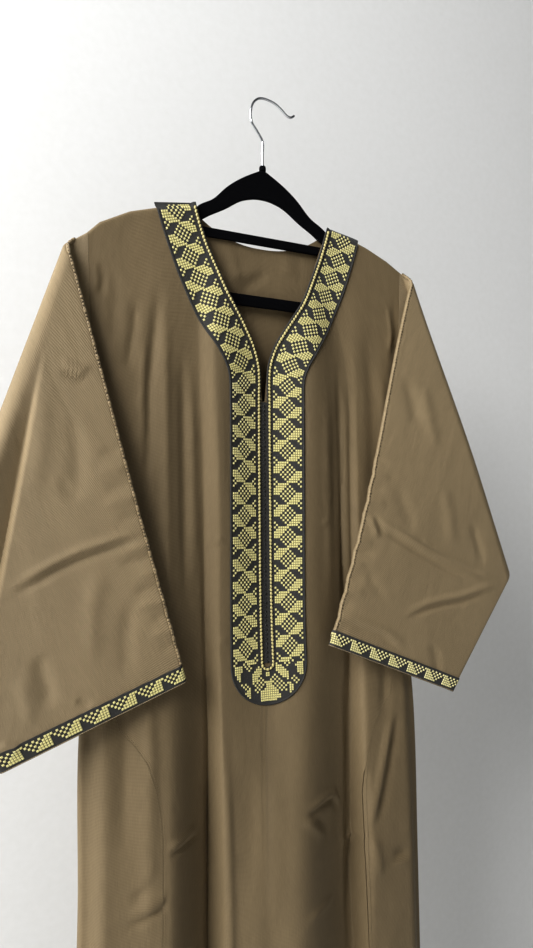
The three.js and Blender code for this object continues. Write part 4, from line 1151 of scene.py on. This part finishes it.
def capped(name, rings, ends, material, uv=None):
    """A skin over rings of points, closed at each end by a fan round one point."""
    count, sides = rings.shape[:2]
    points = np.concatenate([rings.reshape(-1, 3), ends])
    at = np.arange(count * sides).reshape(count, sides)
    at = np.concatenate([at, at[:, :1]], axis=1)
    faces = np.stack([at[:-1, :-1], at[1:, :-1], at[1:, 1:], at[:-1, 1:]], axis=-1).reshape(-1, 4)
    first, last = len(points) - 2, len(points) - 1
    caps = [(first, at[0, k], at[0, k + 1]) for k in range(sides)]
    caps += [(last, at[-1, k + 1], at[-1, k]) for k in range(sides)]
    return mesh_object(name, points, faces.tolist() + caps, material, uv)


def tube(name, line, radius, material, sides=8):
    """A round cord along a list of points; radius may be one number or one for each point."""
    line = np.asarray(line, float)
    tangent = np.gradient(line, axis=0)
    tangent /= np.linalg.norm(tangent, axis=1, keepdims=True)
    guide = np.array([0.0, 1.0, 0.0])
    across = np.cross(tangent, guide)
    across /= np.linalg.norm(across, axis=1, keepdims=True)
    other = np.cross(across, tangent)
    r = np.broadcast_to(np.asarray(radius, float), (len(line),))[:, None, None]
    a = np.linspace(0, 2 * math.pi, sides, endpoint=False)[None, :, None]
    rings = line[:, None] + r * (np.cos(a) * across[:, None] + np.sin(a) * other[:, None])
    uv = np.concatenate([np.repeat(np.linspace(0, 1, len(line)), sides), [0, 1]])
    return capped(name, rings, (line[0], line[-1]), material, np.stack([uv, uv], axis=1))


CORD_LIFT = GROUND_LIFT + TRIM + 0.9
for word, side in SIDES:
    path_beads(f"band_cord_{word}", [band_path(side, CORD_ACROSS, CORD_LIFT)], CORD, "embroidery",
               Pitch=0.0043, Width=0.0031, Depth=0.0026, Length=0.0043, Uneven=0.1,
               Tilt=0.35 * side["sign"])
    edge = band_path(side, EDGE_ACROSS, GROUND_LIFT + 0.6)
    keep(tube(f"band_edge_{word}", edge, 0.9, CHARCOAL), slot="charcoal_trim")
    binding = band_path(side, BINDING_ACROSS, GROUND_LIFT + 0.1, around=False)
    binding = binding[binding[:, 2] > SLIT_END_Z]
    keep(tube(f"neck_binding_{word}", binding, 1.3, CHARCOAL), slot="charcoal_trim")
knots_z = np.linspace(SLIT_END_Z - 6, CLOSURE_Z + 2, 60)
path_beads("placket_knots", [over_front(0 * knots_z, knots_z, GROUND_LIFT + TRIM + 0.3)], KNOT,
           "charcoal_trim", Pitch=0.0054, Width=0.0027, Depth=0.0018, Length=0.0030, Uneven=0.12)
print("cords, edges and knots done")

# %% [markdown]
# ## The cuffs
#
# Each cuff has its own narrow tape, sewn round both layers: a dark edge, a field of stepped
# blocks and checks, and a thin light cord at the lower rim.

# %% Cuff bands
CUFF_CHART = """
##.#.#.#.#
###.#.#.#.
####.#.#..
#####.#...
######....
""".split()
cuff_chart = np.array([[mark == "#" for mark in row] for row in CUFF_CHART])
CUFF_STITCH = 2.95            # least length of a stitch round the cuff
CUFF_FIELD = (3.4, 17.2)      # the field's ends, in from the cuff's edge
RING_STEPS = 6                # rows of the ground from one edge to the other


def cuff_ring(word, depths):
    """Points round both layers, at distances in from the cuff's edge."""
    rows = []
    for depth in depths:
        layers = []
        for cut in ("back", "front"):
            tail = sleeve_grids[word, cut][-12:][::-1]
            step = np.linalg.norm(np.diff(tail, axis=0), axis=2)
            at = np.concatenate([np.zeros((1, tail.shape[1])), np.cumsum(step, axis=0)])
            k = np.clip((at <= depth).sum(axis=0) - 1, 0, len(tail) - 2)
            cols = np.arange(tail.shape[1])
            t = ((depth - at[k, cols]) / (at[k + 1, cols] - at[k, cols]))[:, None]
            layers.append(mix(tail[k, cols], tail[k + 1, cols], t))
        seen, hidden = layers
        ends = [(seen[k] + hidden[k]) / 2 for k in (0, -1)]
        rows.append(np.concatenate([ends[:1], seen[1:-1], ends[1:], hidden[1:-1][::-1]]))
    return np.array(rows)


cuff_rings = {}
for word, side in SIDES:
    ring = cuff_rings[word] = cuff_ring(word, np.linspace(0, CUFF_W, RING_STEPS + 1))
    n = grid_normals(ring, True)
    if n[RING_STEPS // 2, 30, 1] > 0:
        n = -n
    cuff = wall(f"cuff_ground_{word}", ring, GROUND_LIFT, GROUND_LIFT + TRIM, CHARCOAL,
                (0, -1, 0), True, n)
    keep(cuff, f"cuff_band_{word}", slot="charcoal_trim")
    ring, n = (np.concatenate([a, a[:, :1]], axis=1) for a in (ring, n))
    closed = ring + n * TOP_LIFT
    length = lengths(closed[RING_STEPS // 2])
    repeat = cuff_chart.shape[1]
    count = int(length[-1] / (CUFF_STITCH * repeat)) * repeat
    at = np.linspace(0, length[-1], count + 1)
    rim = np.stack([at_lengths(row, length, at) for row in closed])
    rows = np.linspace(*CUFF_FIELD, len(cuff_chart) + 1) / CUFF_W * RING_STEPS
    low = np.clip(rows.astype(int), 0, RING_STEPS - 1)
    corners = mix(rim[low], rim[low + 1], (rows - low)[:, None, None])
    chosen = np.tile(cuff_chart[::-1], (1, count // repeat))
    facing = at_lengths(n[RING_STEPS // 2], length, at)[:-1]
    gold = charted(f"cuff_stitches_{word}", corners, chosen, GOLD, "embroidery", facing)
    lines = [rim[0] + (rim[1] - rim[0]) * 0.2]
    path_beads(f"cuff_cord_{word}", lines, SEAM, "embroidery", Pitch=0.0021, Width=0.0010,
               Depth=0.0010, Length=0.0021, Uneven=0.1)
    print(cuff.name, "length round, mm:", round(length[-1]), len(gold.data.polygons))

# %% [markdown]
# ## Seams
#
# The over-arm seam is felled and topstitched, so it stands as a ridge with darker stitches on it;
# its lighter tone is partly the thread's own and partly painted highlight, for the light on the
# ridge's top.  The gusset and hem stitches are finer, in thread that nearly matches the cloth.

# %% Seams and their stitches
SEAM_LIFT, HEM_FOLD, HEM_HALF = 2.9, 22.0, 146.0
for word, side in SIDES:
    over = sleeve_lines(side)[0]
    x, y, z, turned = folded(side, over[:, 0], over[:, 1], 0.0)
    y = y + turned * flap_shift(side, x, z)
    line = np.stack([x, y, z], axis=1)[12:]
    length = lengths(line)
    fine = np.linspace(0, length[-1] - CUFF_W - 1, 360)
    swell = 1.9 + 0.25 * np.sin(fine * 2 * math.pi / 7.3) + 0.2 * np.sin(fine * 2 * math.pi / 17)
    front_edge = at_lengths(line, length, fine) - (0, SEAM_LIFT, 0)
    keep(tube(f"over_arm_seam_{word}", front_edge, swell, SEAM), slot="olive_cloth")
    path_beads(f"over_arm_stitches_{word}", [front_edge + (0.5 * side["sign"], -1.7, 0)], DEEP,
               "olive_cloth", Pitch=0.0040, Width=0.0022, Depth=0.0009, Length=0.0019, Uneven=0.2)
    seam_z = np.linspace(side["armpit"][1] - 8, HEM_Z + 4, 300)
    for offset, tag in ((-1.6, "inner"), (1.9, "outer")):
        x = side["sign"] * (panel_edge(side, seam_z) + offset)
        y = front_y(x, seam_z) - CLOTH / 2 - 0.1
        path_beads(f"gusset_stitches_{word}_{tag}", [np.stack([x, y, seam_z], axis=1)], TONAL,
                   "olive_cloth", Pitch=0.0031, Width=0.0007, Depth=0.0006, Length=0.0021,
                   Uneven=0.12)
hem_x = np.linspace(-HEM_HALF, HEM_HALF, 160)
hem_z = np.full_like(hem_x, HEM_Z + HEM_FOLD)
for cut, depth, lift in (("front", front_y, -0.7), ("back", back_y, 0.7)):
    line = np.stack([hem_x, depth(hem_x, hem_z) + lift, hem_z], axis=1)
    path_beads(f"hem_stitches_{cut}", [line], TONAL, "olive_cloth", Pitch=0.0034, Width=0.0007,
               Depth=0.0006, Length=0.0022, Uneven=0.12)

# %% [markdown]
# ## The hanger
#
# A slim moulded hanger, flocked all over: arched arms, a bar for trousers and a tie bar under
# the neck.  Its round steel hook turns in the neck's collar.

# %% Hanger and hook
THICK, TIP_X, BAR_TOP, BAR_LOW, END = 5.0, 199.0, -243.0, -257.0, 13.0
TIE_HALF, TIE_TOP, TIE_LOW = 96, -169.5, -180.5
NECK_TOP = [(0, -88.3), (12, -93), (31, -104), (48, -117), (65, -134), (82, -144)]
NECK_LOW = [(0, -124), (14, -125.5), (30, -131), (50, -144), (68, -154), (85, -164)]
ARM_TOP = [(95, 4.5), (106, 4.2), (119, 2.4), (131, 0.8), (150, 0.6), (166, 0.6), (182, 0.6),
           (190, 0.6)]
HOOK_PATH = [(0, -81.2), (0, -66), (0, -52), (-7, -41), (-14.5, -31), (-16, -19), (-13, -7.5),
             (-7, -0.8), (0, 1.5), (9, 1.1), (18, -1.4), (26, -6.2), (33, -11.6), (39, -12.8),
             (44.5, -9)]


def smooth_line(points, steps, closed=False):
    """Catmull-Rom curve through points."""
    p = np.asarray(points, float)
    p = np.concatenate([p[-1:], p, p[:2]]) if closed else np.concatenate([p[:1], p, p[-1:]])
    t = np.linspace(0, 1, steps, endpoint=False)[:, None]
    out = [0.5 * (2 * b + (c - a) * t + (2 * a - 5 * b + 4 * c - d) * t ** 2
                  + (3 * b - a - 3 * c + d) * t ** 3) for a, b, c, d in zip(p, p[1:], p[2:], p[3:])]
    line = np.concatenate(out)
    return line if closed else np.concatenate([line, p[-2:-1]])


def plate(name, outline, thick, material, soft=1.7):
    """A flat plate with rounded rims, standing in the plane y = 0."""
    data = bpy.data.curves.new(name, "CURVE")
    data.dimensions, data.fill_mode = "2D", "BOTH"
    data.bevel_depth, data.extrude = soft / 1000, (thick / 2 - soft) / 1000
    data.offset, data.bevel_resolution = -soft / 1000, 4
    spline = data.splines.new("POLY")
    spline.points.add(len(outline) - 1)
    spline.points.foreach_set("co", [v / 1000 for x, z in outline for v in (x, z, 0, 1000)])
    spline.use_cyclic_u = True
    holder = placed(name + "_curve", data)
    mesh = bpy.data.meshes.new_from_object(holder)
    bpy.data.objects.remove(holder)
    co = np.empty(len(mesh.vertices) * 3)
    mesh.vertices.foreach_get("co", co)
    co = co.reshape(-1, 3)
    mesh.vertices.foreach_set("co", np.stack([co[:, 0], -co[:, 2], co[:, 1]], axis=1).ravel())
    mesh.shade_smooth()
    mesh.set_sharp_from_angle(angle=math.radians(50))
    mesh.materials.clear()
    mesh.materials.append(material)
    return placed(name, mesh)


def rectangle(half, low, high):
    return [(-half, low), (half, low), (half, high), (-half, high)]


def arm_top_z(side, x):
    return float(shoulder_z(x * side["sign"])) - 2.0


def half_outline(side):
    top = NECK_TOP + [(x, arm_top_z(side, x) - low) for x, low in ARM_TOP]
    tip = arm_top_z(side, 196)
    top += [(196, tip - 3), (TIP_X, tip - 9), (TIP_X, BAR_LOW + 6), (TIP_X - 3, BAR_LOW + 1.5),
            (TIP_X - END, BAR_LOW), (TIP_X - END, arm_top_z(side, 188) - 20)]
    top += [(x, arm_top_z(side, x) - 17) for x in (166, 140, 112)] + NECK_LOW[::-1]
    return [(x * side["sign"], z) for x, z in top]


right_half, left_half = half_outline(RIGHT), half_outline(LEFT)
body = right_half + left_half[1:-1][::-1]
bend = smooth_line(body, 5, closed=True)
keep(plate("hanger_body", bend, THICK, VELVET), "hanger_arm_left", "hanger_arm_right",
     slot="hanger_velvet")
end = TIP_X - END - 0.2
keep(plate("hanger_trouser_bar", rectangle(end, BAR_LOW, BAR_TOP), THICK, VELVET), "hanger_bar",
     slot="hanger_velvet")
keep(plate("hanger_tie_rail", rectangle(TIE_HALF, TIE_LOW, TIE_TOP), THICK, VELVET),
     "hanger_tie_bar", slot="hanger_velvet")

profile = smooth_line([(4.1, -88), (4.2, -86), (4.1, -84), (3.5, -82.4), (2.4, -81.6)], 4)
a = -np.linspace(0, 2 * math.pi, 32, endpoint=False)
rings = np.stack([profile[:, :1] * np.cos(a), profile[:, :1] * np.sin(a),
                  profile[:, 1:] + 0 * a[None]], axis=2)
collar = capped("hook_neck_collar", rings, [(0, 0, -88), (0, 0, -81.5)], VELVET)
keep(collar, "hook_collar", slot="hanger_velvet")

wire = smooth_line(HOOK_PATH, 12)
taper = np.full(len(wire), 1.5)
taper[-4:] = (1.45, 1.3, 1.0, 0.5)
wire = np.stack([wire[:, 0], 0 * wire[:, 0], wire[:, 1]], axis=1)
keep(tube("steel_hook", wire, taper, STEEL, sides=20), "hook", slot="hook_metal")
print("hanger built; hook wire points:", len(wire))

# %% [markdown]
# ## Cuff rings
#
# The cell below only looks up each cuff's ring of points.

# %% Each cuff's ring


for word in ("left", "right"):
    ring = cuff_rings[word]

# %% [markdown]
# ## Studio
#
# A plain pale wall and floor.  A large soft lamp grazes the cloth from the upper left, so that
# each fold has a light and a dark side, and a weak one in front lifts the shadows.  The wall
# is clear from behind, so the back of the garment can be looked at too.

# %% Wall, floor, lamps and camera


def stage_plane(name, corners, one_sided):
    """A painted plane; a one-sided one can't be seen from its back and throws no shadow."""
    made, tree, shader = new_material(name + " paint", Roughness=0.9)
    place = node(tree, "ShaderNodeTexCoord")
    speck = node(tree, "ShaderNodeTexNoise", Scale=90.0, Detail=3.0)
    tree.links.new(place.outputs["Object"], speck.inputs["Vector"])
    two_tones(tree, shader, speck.outputs[0], srgb(222, 222, 220), srgb(229, 229, 228))
    if one_sided:
        back_side = node(tree, "ShaderNodeNewGeometry")
        clear = node(tree, "ShaderNodeBsdfTransparent")
        blend = node(tree, "ShaderNodeMixShader")
        output = tree.nodes["Material Output"]
        tree.links.new(back_side.outputs["Backfacing"], blend.inputs[0])
        tree.links.new(shader.outputs[0], blend.inputs[1])
        tree.links.new(clear.outputs[0], blend.inputs[2])
        tree.links.new(blend.outputs[0], output.inputs[0])
    obj = mesh_object(name, np.asarray(corners) * 1000, [(0, 1, 2, 3)], made, smooth=False)
    obj.visible_shadow = not one_sided
    obj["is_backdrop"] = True


WALL_Y, FLOOR_Z = 0.32, -1.72
stage_plane("studio_wall", [(-4, WALL_Y, FLOOR_Z), (4, WALL_Y, FLOOR_Z), (4, WALL_Y, 2),
                            (-4, WALL_Y, 2)], True)
stage_plane("studio_floor", [(-9, -9, FLOOR_Z), (9, -9, FLOOR_Z), (9, 9, FLOOR_Z), (-9, 9, FLOOR_Z)],
            False)


def lamp(name, spot, aim, size, power):
    data = bpy.data.lights.new(name, "AREA")
    data.size, data.energy = size, power
    obj = placed(name, data)
    obj.location = spot
    way = np.subtract(aim, spot)
    yaw, pitch = math.atan2(-way[0], way[1]), math.atan2(way[2], math.hypot(way[0], way[1]))
    obj.rotation_euler = (math.pi / 2 + pitch, 0, yaw)


lamp("window light", (-2.5, -1.1, 1.0), (0, 0, -0.6), 1.9, 170)
lamp("room light", (0.4, -2.6, 0.9), (0, 0, -0.6), 1.6, 4)
world = bpy.data.worlds.new("pale room")
world.use_nodes = True
air = world.node_tree
surround = air.nodes["Background"]
surround.inputs["Color"].default_value = (0.93, 0.96, 1.0, 1)
rays = node(air, "ShaderNodeLightPath")
glow = math_node(air, "ADD", math_node(air, "MULTIPLY", rays.outputs["Is Camera Ray"], 0.6), 0.05)
air.links.new(glow, surround.inputs["Strength"])
scene = bpy.context.scene
scene.world = world

lens = bpy.data.cameras.new("camera")
lens.lens, lens.sensor_width, lens.shift_y = 27.04, 36, 0.0348
camera = placed("camera", lens)
camera.location = (-0.3745, -0.793, -0.5015)
camera.rotation_euler = (math.radians(90), 0, math.radians(-25.6))
scene.camera = camera
scene.view_settings.view_transform = "Standard"
scene.view_settings.look = "Medium High Contrast"

# %% [markdown]
# ## Finish
#
# The size of the dressed part is printed; it should agree with that of the plain solids but for
# the little that the cloth and its stitches stand proud.

# %% Size of the dressed part
low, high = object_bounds()
print("dressed part spans", [round(v, 4) for v in high - low])
